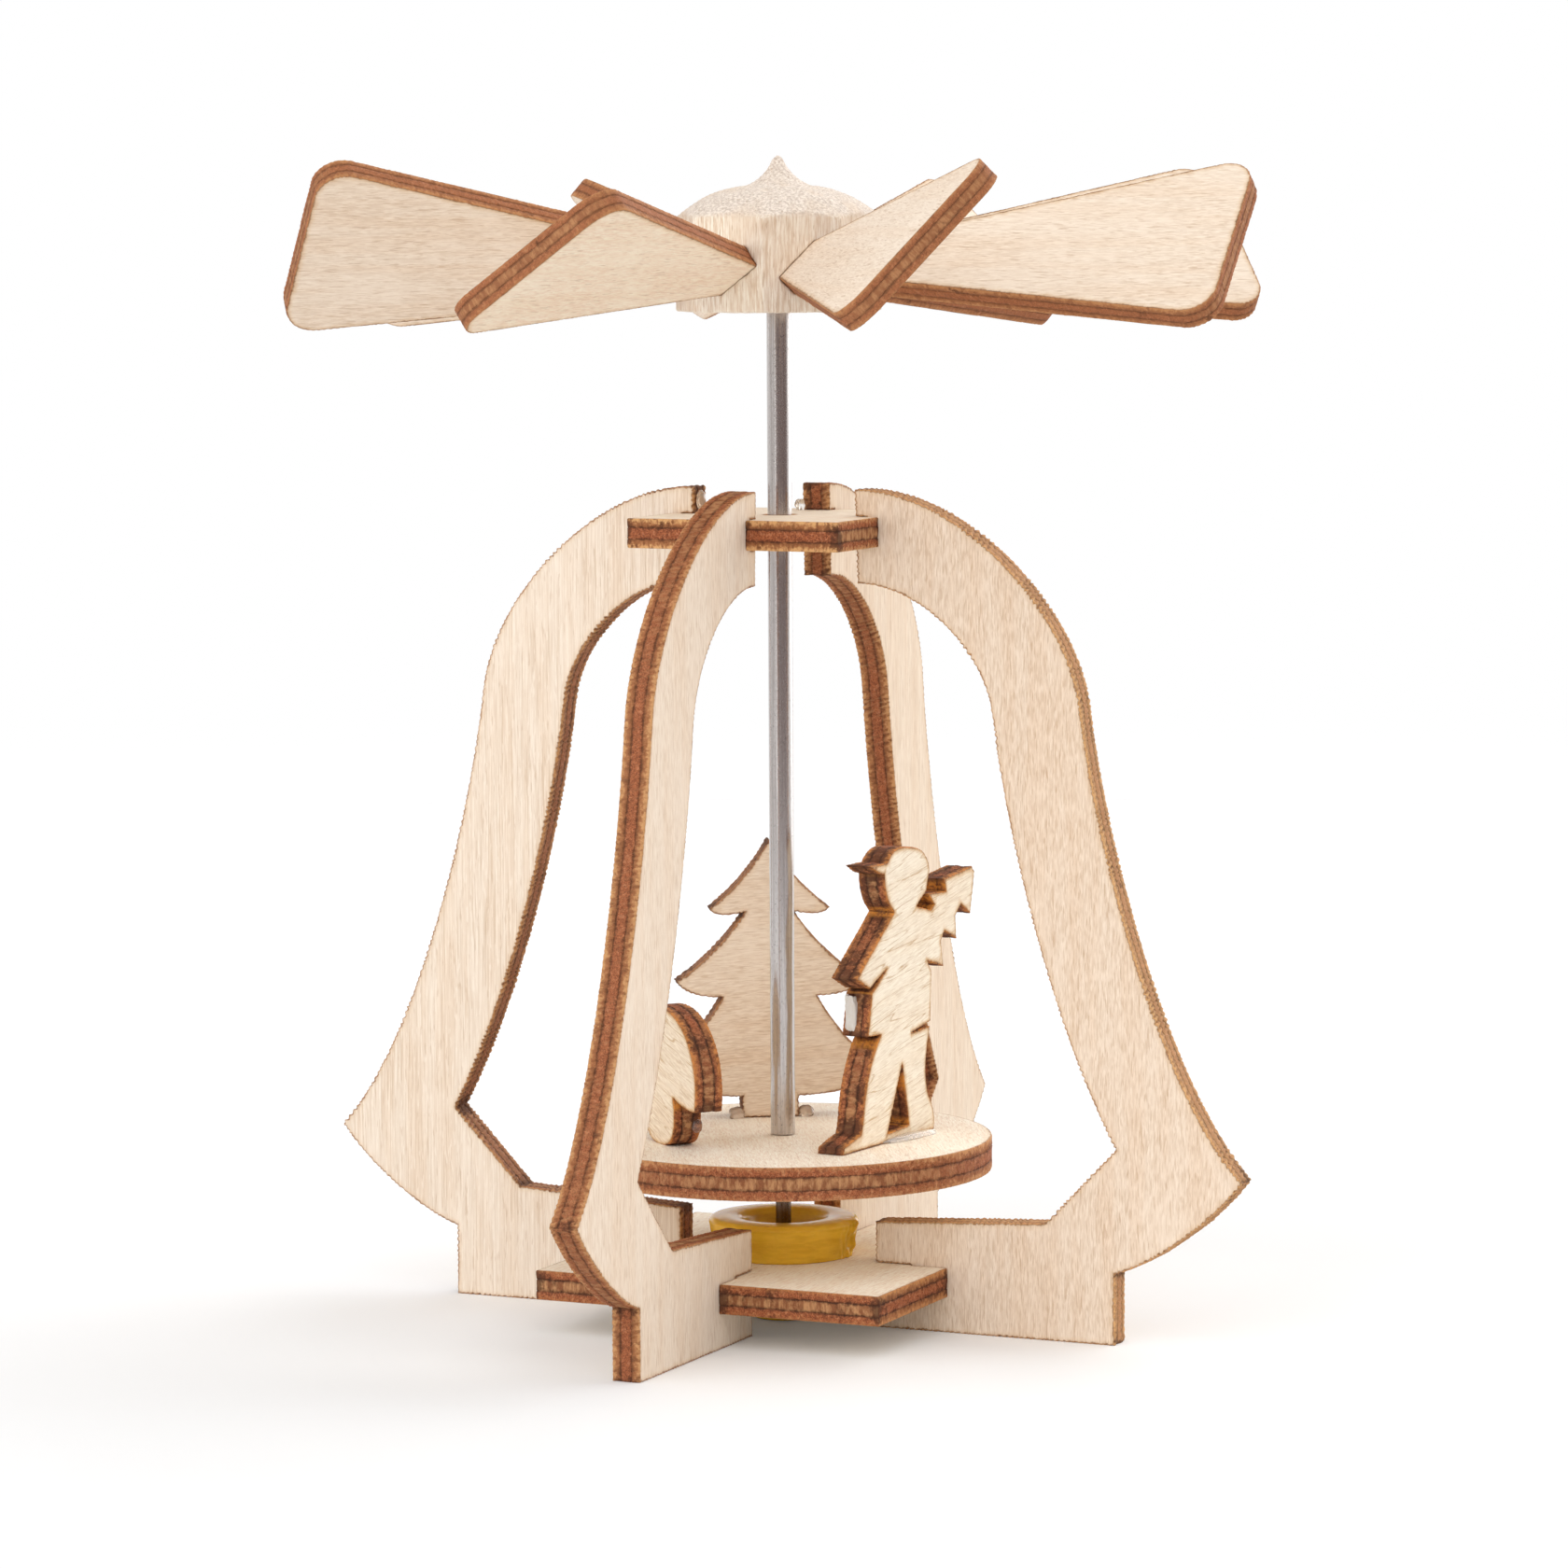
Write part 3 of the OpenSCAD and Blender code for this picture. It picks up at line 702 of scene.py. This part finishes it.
def plywood_mesh(name, outlines, corners, half, seed, ridge_depth):
    """A flat piece with a ragged and ridged cut, dipped glue lines and broken edges. Its points hold how
    scorched they are, how near a corner, how deep in a notch, and how high on a ridge."""
    rim = np.vstack(outlines)
    outward = np.vstack([outward_normals(outline) for outline in outlines])
    phase, strength = np.hstack([ridges(outline) for outline in outlines])
    profile = EDGE_HALF_PROFILE + tuple((-share, inset) for share, inset in reversed(EDGE_HALF_PROFILE))
    rings, waves = [], []
    for share, inset in profile:
        depth = share * half
        rough = RIM_RAGGED if abs(share) == 1.0 else 1.0
        bumps = np.array([ragged(spot, depth, seed) for spot in rim])
        wave = strength * np.sin(2 * math.pi * (phase + RIDGE_LEAN * depth))
        waves.append(wave)
        out = rough * (bumps + ridge_depth * wave) - inset
        rings.append(np.column_stack([rim + outward * out[:, None], np.full(len(rim), depth)]))
    fringe, scorch = fringe_points(rim, outward, outlines)
    triangles = cap_triangles(outlines, fringe)

    count, rows, inner = len(rim), len(rings), len(fringe)
    caps = [np.column_stack([fringe, np.full(inner, side * half)]) for side in (1, -1)]
    points = np.vstack(rings + caps) * MM
    last_ring = (rows - 1) * count
    top = np.where(triangles < count, triangles, triangles + last_ring)
    bottom = np.where(triangles < count, triangles + last_ring, triangles + last_ring + inner)
    faces = top.tolist() + bottom[:, ::-1].tolist()
    cap_count = len(faces)
    start = 0
    for outline in outlines:
        around = np.arange(len(outline)) + start
        following = np.roll(around, -1)
        for row in range(rows - 1):
            above, below = row * count, (row + 1) * count
            quads = np.column_stack([around + above, around + below, following + below, following + above])
            faces += quads.tolist()
        start += len(outline)

    mesh = bpy.data.meshes.new(name)
    mesh.from_pydata(points.tolist(), [], faces)
    is_wall = np.arange(len(faces)) >= cap_count
    mesh.polygons.foreach_set("material_index", is_wall.astype(np.int32))
    mesh.polygons.foreach_set("use_smooth", is_wall)
    unmarked = np.zeros(2 * inner)
    values_of = {
        "scorch": np.concatenate([np.ones(rows * count), scorch, scorch]),
        "corner": np.concatenate([np.tile(corner_nearness(rim, corners), rows), unmarked]),
        "notch": np.concatenate([np.tile(notched(rim, outward), rows), unmarked]),
        "wave": np.concatenate([*waves, unmarked]),
    }
    for kind, values in values_of.items():
        mesh.attributes.new(kind, "FLOAT", "POINT").data.foreach_set("value", values.astype(np.float32))
    mesh.update()
    return mesh


def plywood_piece(node_name, body, seed, grain, veneer):
    """Dresses one flat solid as plywood, with its grain in degrees from level."""
    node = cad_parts[node_name]
    place, half = plate_place(node, math.radians(grain))
    cut = face_outlines(node, place)
    corners = np.vstack([outline[is_corner(outline)] for outline in cut])
    outlines = [smooth_outline(outline) for outline in cut]
    name = node_name + "_ply"
    mesh = plywood_mesh(name, outlines, corners, half, seed, veneer.ridge)
    face = birch_face(node_name + "_face", seed, veneer)
    edge = laser_edge(node_name + "_edge", seed, half, veneer)
    new_piece(name, mesh, body, face, edge, place=place, node=node_name, slot="plywood")


# Plywood pieces
# The blade that wears the lit copy of the birch, as painted light
LIT_BLADE = 2
BLADE_SEED = 12
BLADE_COUNT = sum(name.startswith("blade_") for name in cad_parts)
ARM_LOOKS = {
    "front": ARM_VENEER._replace(ridge=MILD_RIDGE),
    "right": ARM_VENEER._replace(
        tone=WARM_BIRCH, contrast=1.0, length=0.6, pores=0.35, gold=0.8, char=0.3, even=0.33, wash=RIM_GOLD,
    ),
    "back": ARM_VENEER._replace(tone=TAN_BIRCH, length=0.2),
    "left": ARM_VENEER._replace(
        tone=PALE_BIRCH, contrast=0.9, length=0.10, gold=0.8, char=0.35, drift=0.3, even=0.22,
        wash=DULL_BROWN,
    ),
}
TOP_LOOK = PLATE_VENEER._replace(gold=1.0)
BASE_LOOK = PLATE_VENEER._replace(char=0.45)
MUSHROOM_LOOK = FIGURE_VENEER._replace(tone=TAN_CREAM, contrast=1.0)
for number, (side, look) in enumerate(ARM_LOOKS.items(), start=1):
    plywood_piece("arm_" + side, "frame", seed=number, grain=90, veneer=look)
plywood_piece("top_plate", "frame", seed=6, grain=0, veneer=TOP_LOOK)
plywood_piece("base_plate", "frame", seed=7, grain=90, veneer=BASE_LOOK)
plywood_piece("turntable", "rotor", seed=8, grain=119, veneer=PLATE_VENEER)
plywood_piece("tree_figure", "rotor", seed=9, grain=3, veneer=TREE_VENEER)
plywood_piece("woodcutter_figure", "rotor", seed=10, grain=11, veneer=FIGURE_VENEER)
plywood_piece("mushroom_figure", "rotor", seed=11, grain=-16, veneer=MUSHROOM_LOOK)
for number in range(1, BLADE_COUNT + 1):
    look = BLADE_VENEER._replace(tone=LIT_PINK_BIRCH) if number == LIT_BLADE else BLADE_VENEER
    plywood_piece(f"blade_{number}", "rotor", seed=BLADE_SEED + number, grain=0, veneer=look)

# Hub: a turned roof with a spike over eight sawn flats
HUB_EAVE = 113.0
EAVE_BELOW = 0.3
EAVE_ABOVE = 0.5
HUB_VOXEL = 0.17 * MM
HUB_FLAT = (0.92, 0.80, 0.675)
# Tint of the painted shade on the hub's flats that face along X
HUB_SIDE_SHADE = (0.90, 0.86, 0.84)
HUB_ROOF_DARK = (0.56, 0.45, 0.37)
HUB_ROOF_PALE = (0.93, 0.83, 0.73)
TURNING_PITCH = 0.42
TURNING_DEPTH = 0.022
ROOF_PORES = 0.055
FLAT_FIBRES = 0.030
HUB_CHIPS = 0.05
TORN_LEAN = 0.4
TORN_FADE = 2.5


def hub_offset(spot):
    """How far the hub's surface stands out at a place in millimetres: fibres on the flats, and on the roof
    torn pores on one side and turning rings on the other."""
    chips = HUB_CHIPS * noise.noise(spot * 0.55)
    if spot.z < HUB_EAVE:
        upright = Vector((spot.x * 2.4, spot.y * 2.4, spot.z * 0.25))
        return chips + FLAT_FIBRES * noise.noise(upright)
    radius = math.hypot(spot.x, spot.y)
    torn = 0.5 + 0.5 * math.tanh((spot.x + TORN_LEAN * spot.y) / TORN_FADE)
    rings = TURNING_DEPTH * math.sin(2 * math.pi * radius / TURNING_PITCH + noise.noise(spot * 0.5))
    pores = ROOF_PORES * noise.noise(spot * 2.6) + 0.5 * ROOF_PORES * noise.noise(spot * 5.5)
    return chips + rings * (1 - torn) + pores * (0.35 + 0.65 * torn)


def hub_piece():
    """The hub's solid, remeshed finely enough to carry its fibres, pores and rings."""
    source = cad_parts["rotor_hub"]
    blank = bpy.data.objects.new("rotor_hub_blank", source.data.copy())
    bpy.context.scene.collection.objects.link(blank)
    remesh = blank.modifiers.new("voxels", "REMESH")
    remesh.mode = "VOXEL"
    remesh.voxel_size = HUB_VOXEL
    evaluated = blank.evaluated_get(bpy.context.evaluated_depsgraph_get())
    mesh = bpy.data.meshes.new_from_object(evaluated)
    bpy.data.objects.remove(blank)
    normals = [v.normal.copy() for v in mesh.vertices]
    for vertex, normal in zip(mesh.vertices, normals):
        vertex.co += normal * hub_offset(vertex.co / MM) * MM
    mesh.materials.clear()
    shade_smooth(mesh)
    wood = turned_wood("hub_wood")
    new_piece("rotor_hub_turned", mesh, "rotor", wood, node="rotor_hub", slot="carved_wood")


hub_piece()

# Arcs on a lathe profile's corners: the steps of each, and the most of a side that one takes
ARC_STEPS = 5
ARC_SHARE = 0.45


def rounded_profile(corners, radius):
    """A chain of (radius, height) corners with each inner corner rounded off by a small arc."""
    path = [Vector(corners[0])]
    for before, here, after in zip(corners, corners[1:], corners[2:]):
        here = Vector(here)
        back, on = Vector(before) - here, Vector(after) - here
        cut = min(radius, back.length * ARC_SHARE, on.length * ARC_SHARE)
        start, end = here + back.normalized() * cut, here + on.normalized() * cut
        for step in range(ARC_STEPS + 1):
            t = step / ARC_STEPS
            path.append(start * (1 - t)**2 + here * 2 * t * (1 - t) + end * t**2)
    path.append(Vector(corners[-1]))
    return path


def lathe(name, path, segments, offset=None):
    """A turned mesh from a path of (radius, height) in millimetres that starts and ends on the axis."""
    points, faces = [Vector((0, 0, path[0].y))], []
    for spot in path[1:-1]:
        for step in range(segments):
            angle = 2 * math.pi * step / segments
            points.append(Vector((spot.x * math.cos(angle), spot.x * math.sin(angle), spot.y)))
    points.append(Vector((0, 0, path[-1].y)))
    rows, last = len(path) - 2, len(points) - 1
    for step in range(segments):
        following = (step + 1) % segments
        faces.append((0, 1 + following, 1 + step))
        for row in range(rows - 1):
            low, high = 1 + row * segments, 1 + (row + 1) * segments
            faces.append((low + step, low + following, high + following, high + step))
        top = 1 + (rows - 1) * segments
        faces.append((last, top + step, top + following))
    if offset:
        points = [spot + offset(spot) for spot in points]
    mesh = bpy.data.meshes.new(name)
    mesh.from_pydata([spot * MM for spot in points], [], faces)
    shade_smooth(mesh)
    mesh.update()
    return mesh


# Shaft: a wire with a thinner pointed pin through the turntable and below it
STEEL_DARK = (0.50, 0.465, 0.45)
STEEL_PALE = (0.68, 0.645, 0.63)
STEEL_DULL = (0.36, 0.33, 0.32)
# Tint of the painted shade on the pin below the turntable
PIN_SHADE_TINT = (0.34, 0.29, 0.25)
PIN_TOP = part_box("turntable")[0].z / MM
PIN_RADIUS = 0.8
PIN_POINT = 1.4
SHOULDER_GAP = 0.05
SHAFT_ROUNDING = 0.15
SHAFT_SEGMENTS = 64
PIN_SHADE_FADE = 0.6


def shaft_piece():
    """The shaft, turned from its solid's box."""
    low, high = (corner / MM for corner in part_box("shaft"))
    radius = (high.x - low.x) / 2
    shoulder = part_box("turntable")[1].z / MM + SHOULDER_GAP
    corners = [
        (0, low.z), (PIN_RADIUS, low.z + PIN_POINT), (PIN_RADIUS, shoulder), (radius, shoulder),
        (radius, high.z), (0, high.z),
    ]
    mesh = lathe("shaft_wire", rounded_profile(corners, SHAFT_ROUNDING), SHAFT_SEGMENTS)
    new_piece("shaft_wire", mesh, "rotor", drawn_steel("shaft_steel"), node="shaft", slot="steel")


shaft_piece()

# Bearing cup: a shallow bowl with a rough sprue mark on its wall and a boss below
CUP_FOOT_RADIUS = 7.1
BOSS_RADIUS = 3.5
BOWL_RADIUS = 4.3
BOWL_DEPTH = 2.7
DIMPLE_RADIUS = 1.5
DIMPLE_DEPTH = 0.6
BOWL_DRAFT = 0.6
CUP_EDGE = 0.4
CUP_ROUNDING = 0.7
CUP_SWELL = 0.05
LIP_CROWN = 0.12
CUP_SEGMENTS = 320
CUP_WALL_ROWS = 9
SPRUE_ANGLE = math.radians(2)
SPRUE_WIDTH = math.radians(9)
SPRUE_HEIGHT = 0.12
SPRUE_GOUGES = 0.9
SPRUE_DEEPEST = -0.15
WALL_MARGIN = 0.2
CUP_YELLOW = (0.84, 0.49, 0.038)
CUP_DEEP = (0.72, 0.39, 0.024)
CUP_GLOW = (0.0025, 0.0014, 0.0004)


def cup_piece():
    """The cup, turned from its solid's box with a moulded wall."""
    low, high = (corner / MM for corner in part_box("bearing_cup"))
    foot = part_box("base_plate")[1].z / MM
    radius = (high.x - low.x) / 2
    floor = high.z - BOWL_DEPTH
    wall_foot, wall_top = Vector((CUP_FOOT_RADIUS, foot)), Vector((radius, high.z - CUP_EDGE))
    wall = [wall_foot.lerp(wall_top, row / CUP_WALL_ROWS) for row in range(CUP_WALL_ROWS + 1)]
    corners = [
        (0, low.z), (BOSS_RADIUS, low.z), (BOSS_RADIUS, foot), *wall,
        (radius - CUP_EDGE, high.z), ((radius + BOWL_RADIUS) / 2, high.z + LIP_CROWN),
        (BOWL_RADIUS + CUP_EDGE, high.z), (BOWL_RADIUS, high.z - CUP_EDGE),
        (BOWL_RADIUS - BOWL_DRAFT, floor), (DIMPLE_RADIUS, floor),
        (0, floor - DIMPLE_DEPTH),
    ]

    def moulded(spot):
        """The wall's step outwards at a place: a slight swell, and the gouged sprue mark."""
        reach = math.hypot(spot.x, spot.y)
        out = Vector((spot.x, spot.y, 0)) / max(reach, 1.0)
        swell = CUP_SWELL * noise.noise(Vector((spot.x * 0.25, spot.y * 0.25, spot.z * 0.6)))
        away = (math.atan2(spot.y, spot.x) - SPRUE_ANGLE) / SPRUE_WIDTH
        gouges = noise.noise(Vector((spot.x * 2.2, spot.y * 2.2, spot.z * 0.7)))
        lump = math.exp(-away * away) * max(SPRUE_DEEPEST, SPRUE_HEIGHT + SPRUE_GOUGES * gouges)
        on_wall = 1.0 if reach > CUP_FOOT_RADIUS - WALL_MARGIN else 0.0
        return out * on_wall * (swell + lump)

    path = rounded_profile(corners, CUP_ROUNDING)
    mesh = lathe("bearing_cup_moulded", path, CUP_SEGMENTS, moulded)
    plastic = moulded_plastic("cup_yellow")
    new_piece("bearing_cup_moulded", mesh, "frame", plastic, node="bearing_cup", slot="cup_plastic")


cup_piece()

# Beads of hot glue, and a pale milky strip on the woodcutter's coat
GLUE_HAZE = (0.95, 0.92, 0.88)
GLUE_IOR = 1.48
GLUE_SINK = 0.05
BEAD_DIVISIONS = 4
BEAD_SWELL = 0.22
TREE_ANGLE = 121
WOODCUTTER_ANGLE = 355
MUSHROOM_ANGLE = 229
TREE_BEADS = ((11.4, 3.6), (12.0, -3.8))
FILM_TURN = -6
CLEAR_GLUE = hot_glue("glue_clear", 0.92, (0.97, 0.96, 0.94))
MILKY_GLUE = hot_glue("glue_milky", 0.30, (0.90, 0.86, 0.80))
FILM_GLUE = hot_glue("glue_film", 0.70, (0.93, 0.86, 0.78))
AMBER_GLUE = hot_glue("glue_amber", 0.60, (0.72, 0.56, 0.42))


def glue_bead(name, body, glue, centre, half_sizes, turn=0.0, floor=None, bluntness=1.0):
    """An uneven bead at a place in millimetres, flat where it rests on a floor height; a bluntness below 1
    squares it."""
    bm = bmesh.new()
    bmesh.ops.create_icosphere(bm, subdivisions=BEAD_DIVISIONS, radius=1.0)
    for vertex in bm.verts:
        blunt = Vector(math.copysign(abs(value)**bluntness, value) for value in vertex.co)
        grown = blunt * (1.0 + BEAD_SWELL * noise.noise(vertex.co * 1.5 + Vector(centre)))
        spot = Matrix.Rotation(turn, 3, "Z") @ Vector(a * b for a, b in zip(grown, half_sizes))
        spot += Vector(centre)
        if floor is not None:
            spot.z = max(spot.z, floor)
        vertex.co = spot * MM
    mesh = bpy.data.meshes.new(name)
    bm.to_mesh(mesh)
    bm.free()
    shade_smooth(mesh)
    new_piece(name, mesh, body, glue)


def along(angle, radius, aside):
    """A place in millimetres by its angle round the shaft in degrees, its radius, and a step aside."""
    a = math.radians(angle)
    return radius * math.cos(a) - aside * math.sin(a), radius * math.sin(a) + aside * math.cos(a)


plate_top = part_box("top_plate")[1].z / MM
disc_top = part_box("turntable")[1].z / MM
plate_floor = plate_top - GLUE_SINK
disc_floor = disc_top - GLUE_SINK
place = (-8.6, -0.5, plate_top + 1.3)
glue_bead("glue_left_arm", "frame", AMBER_GLUE, place, (0.45, 0.7, 1.0))
place = (-1.7, 8.9, plate_top + 0.5)
glue_bead("glue_back_arm", "frame", CLEAR_GLUE, place, (0.55, 0.8, 0.65), floor=plate_floor)
for number, (radius, aside) in enumerate(TREE_BEADS, start=1):
    place = (*along(TREE_ANGLE, radius, aside), disc_top + 0.45)
    glue_bead(f"glue_tree_{number}", "rotor", AMBER_GLUE, place, (0.8, 0.9, 0.7), floor=disc_floor)
place = (*along(WOODCUTTER_ANGLE, 12.8, 4.0), disc_top + 0.1)
turn = math.radians(WOODCUTTER_ANGLE + FILM_TURN)
glue_bead("glue_woodcutter", "rotor", FILM_GLUE, place, (0.90, 4.9, 0.46), turn, floor=disc_floor)
# A pale milky strip down the coat's front edge, in the milky glue material
place = (*along(WOODCUTTER_ANGLE, 10.15, -3.75), disc_top + 13.5)
turn = math.radians(WOODCUTTER_ANGLE)
glue_bead("coat_pale_strip", "rotor", MILKY_GLUE, place, (0.62, 0.40, 1.95), turn, bluntness=0.45)
place = (*along(MUSHROOM_ANGLE, 11.2, 3.6), disc_top + 2.2)
turn = math.radians(MUSHROOM_ANGLE)
glue_bead("glue_mushroom", "rotor", CLEAR_GLUE, place, (0.55, 0.4, 0.8), turn)

# Floor, world, lamps and reflection cards
FLOOR_RADIUS = 0.9
FLOOR_FADE = (0.20, 0.70)
FLOOR_WHITE = (0.88, 0.88, 0.88)
FLOOR_LIFT = 0.04
SKY_LIGHT = 0.50
# Power of each soft lamp, where it stands in degrees round the shaft and above the floor, and its spread
LAMPS = {
    "key_light": (2.25, 60, 30, 80),
    "left_light": (1.40, 235, 15, 80),
    "front_light": (0.95, 294, 42, 65),
}
# Cards that only reflections see: degrees aside from the camera, width, and colour
CARDS = {"dark_card": (22, 0.75, (0.24, 0.185, 0.175)), "left_card": (-72, 0.32, (0.70, 0.68, 0.67))}
CARD_DISTANCE = 0.25
CARD_HEIGHT = 0.5


def floor_material():
    """White floor that fades into the white world, with a small lift for the camera alone."""
    g = Graph("floor_white")
    place = g.node("TexCoord", {}, "Object")
    reach = g.node("VectorMath", {0: place}, "Value", operation="LENGTH")
    matt = g.node("BsdfDiffuse", {"Color": (*FLOOR_WHITE, 1)})
    seen = g.node("LightPath", {}, "Is Camera Ray")
    lift = g.node("Emission", {"Strength": g.times(seen, FLOOR_LIFT)})
    lit = g.node("AddShader", {0: matt, 1: lift})
    clear = g.node("BsdfTransparent", {})
    fade = g.between(reach, *FLOOR_FADE)
    g.node("OutputMaterial", {"Surface": g.node("MixShader", {0: fade, 1: lit, 2: clear})})
    return g.material


def stage_plane(name, half_width, half_height, material):
    """A flat sheet of the studio, which isn't part of the object."""
    mesh = bpy.data.meshes.new(name)
    corners = [(-half_width, -half_height, 0), (half_width, -half_height, 0),
               (half_width, half_height, 0), (-half_width, half_height, 0)]
    mesh.from_pydata(corners, [], [(0, 1, 2, 3)])
    mesh.materials.append(material)
    plane = bpy.data.objects.new(name, mesh)
    bpy.context.scene.collection.objects.link(plane)
    return plane


def card_material(name, colour):
    """An even glow for a card."""
    g = Graph(name)
    glow = g.node("Emission", {"Color": (*colour, 1), "Strength": 1.0})
    g.node("OutputMaterial", {"Surface": glow})
    return g.material


def reflection_card(name, aside, width, colour):
    """An upright card on the floor that only reflections see."""
    card = stage_plane(name, width / 2, CARD_HEIGHT / 2, card_material(name, colour))
    turn = CAMERA_TURN + math.radians(aside)
    away = Vector((math.sin(turn), -math.cos(turn), 0))
    place = away * CARD_DISTANCE + UP * CARD_HEIGHT / 2
    card.matrix_world = Matrix.Translation(place) @ away.to_track_quat("Z", "Y").to_matrix().to_4x4()
    card.visible_camera = False
    card.visible_diffuse = False
    card.visible_shadow = False
    card.visible_transmission = False


def white_world():
    """A world that is white to the camera, reflections and clear glue, and lights the rest more softly."""
    world = bpy.data.worlds.new("white_world")
    bpy.context.scene.world = world
    world.use_nodes = True
    tree = world.node_tree
    tree.nodes.clear()
    rays = tree.nodes.new("ShaderNodeLightPath")
    shown = rays.outputs["Is Camera Ray"]
    for name in ("Is Glossy Ray", "Is Transmission Ray"):
        either = tree.nodes.new("ShaderNodeMath")
        either.operation = "MAXIMUM"
        tree.links.new(shown, either.inputs[0])
        tree.links.new(rays.outputs[name], either.inputs[1])
        shown = either.outputs[0]
    strength = tree.nodes.new("ShaderNodeMapRange")
    strength.inputs["To Min"].default_value = SKY_LIGHT
    strength.inputs["To Max"].default_value = 1.0
    tree.links.new(shown, strength.inputs["Value"])
    background = tree.nodes.new("ShaderNodeBackground")
    background.inputs["Color"].default_value = (1, 1, 1, 1)
    tree.links.new(strength.outputs[0], background.inputs["Strength"])
    output = tree.nodes.new("ShaderNodeOutputWorld")
    tree.links.new(background.outputs[0], output.inputs["Surface"])


def soft_lamp(name, power, turn, height, spread):
    """A far and wide lamp that shines on the object from its place in degrees."""
    lamp = bpy.data.lights.new(name, "SUN")
    lamp.energy = power
    lamp.angle = math.radians(spread)
    turn, height = math.radians(turn), math.radians(height)
    level = math.cos(height)
    source = Vector((math.cos(turn) * level, math.sin(turn) * level, math.sin(height)))
    sun = bpy.data.objects.new(name, lamp)
    sun.matrix_world = source.to_track_quat("Z", "Y").to_matrix().to_4x4()
    bpy.context.scene.collection.objects.link(sun)


stage_plane("floor", FLOOR_RADIUS, FLOOR_RADIUS, floor_material())
for name, values in CARDS.items():
    reflection_card(name, *values)
white_world()
for name, values in LAMPS.items():
    soft_lamp(name, *values)


def photo_camera():
    """The camera, as it was fitted to the photograph."""
    lens = bpy.data.cameras.new("photo_camera")
    lens.sensor_fit = "HORIZONTAL"
    lens.sensor_width = SENSOR_WIDTH
    lens.lens = FOCAL_PIXELS * SENSOR_WIDTH / IMAGE_SIDE
    lens.clip_start = NEAR_CLIP
    ahead = Vector((-math.sin(AIM_TURN) * math.cos(AIM_DOWN), math.cos(AIM_TURN) * math.cos(AIM_DOWN),
                    -math.sin(AIM_DOWN)))
    level = ahead.cross(UP).normalized()
    upward = level.cross(ahead)
    right = level * math.cos(AIM_ROLL) + upward * math.sin(AIM_ROLL)
    top = upward * math.cos(AIM_ROLL) - level * math.sin(AIM_ROLL)
    where = Vector((math.sin(CAMERA_TURN) * CAMERA_DISTANCE, -math.cos(CAMERA_TURN) * CAMERA_DISTANCE,
                    CAMERA_HEIGHT))
    camera = bpy.data.objects.new("photo_camera", lens)
    axes = Matrix((right, top, -ahead)).transposed()
    camera.matrix_world = Matrix.Translation(where) @ axes.to_4x4()
    bpy.context.scene.collection.objects.link(camera)
    bpy.context.scene.camera = camera


photo_camera()
bpy.context.scene.view_settings.view_transform = "Standard"
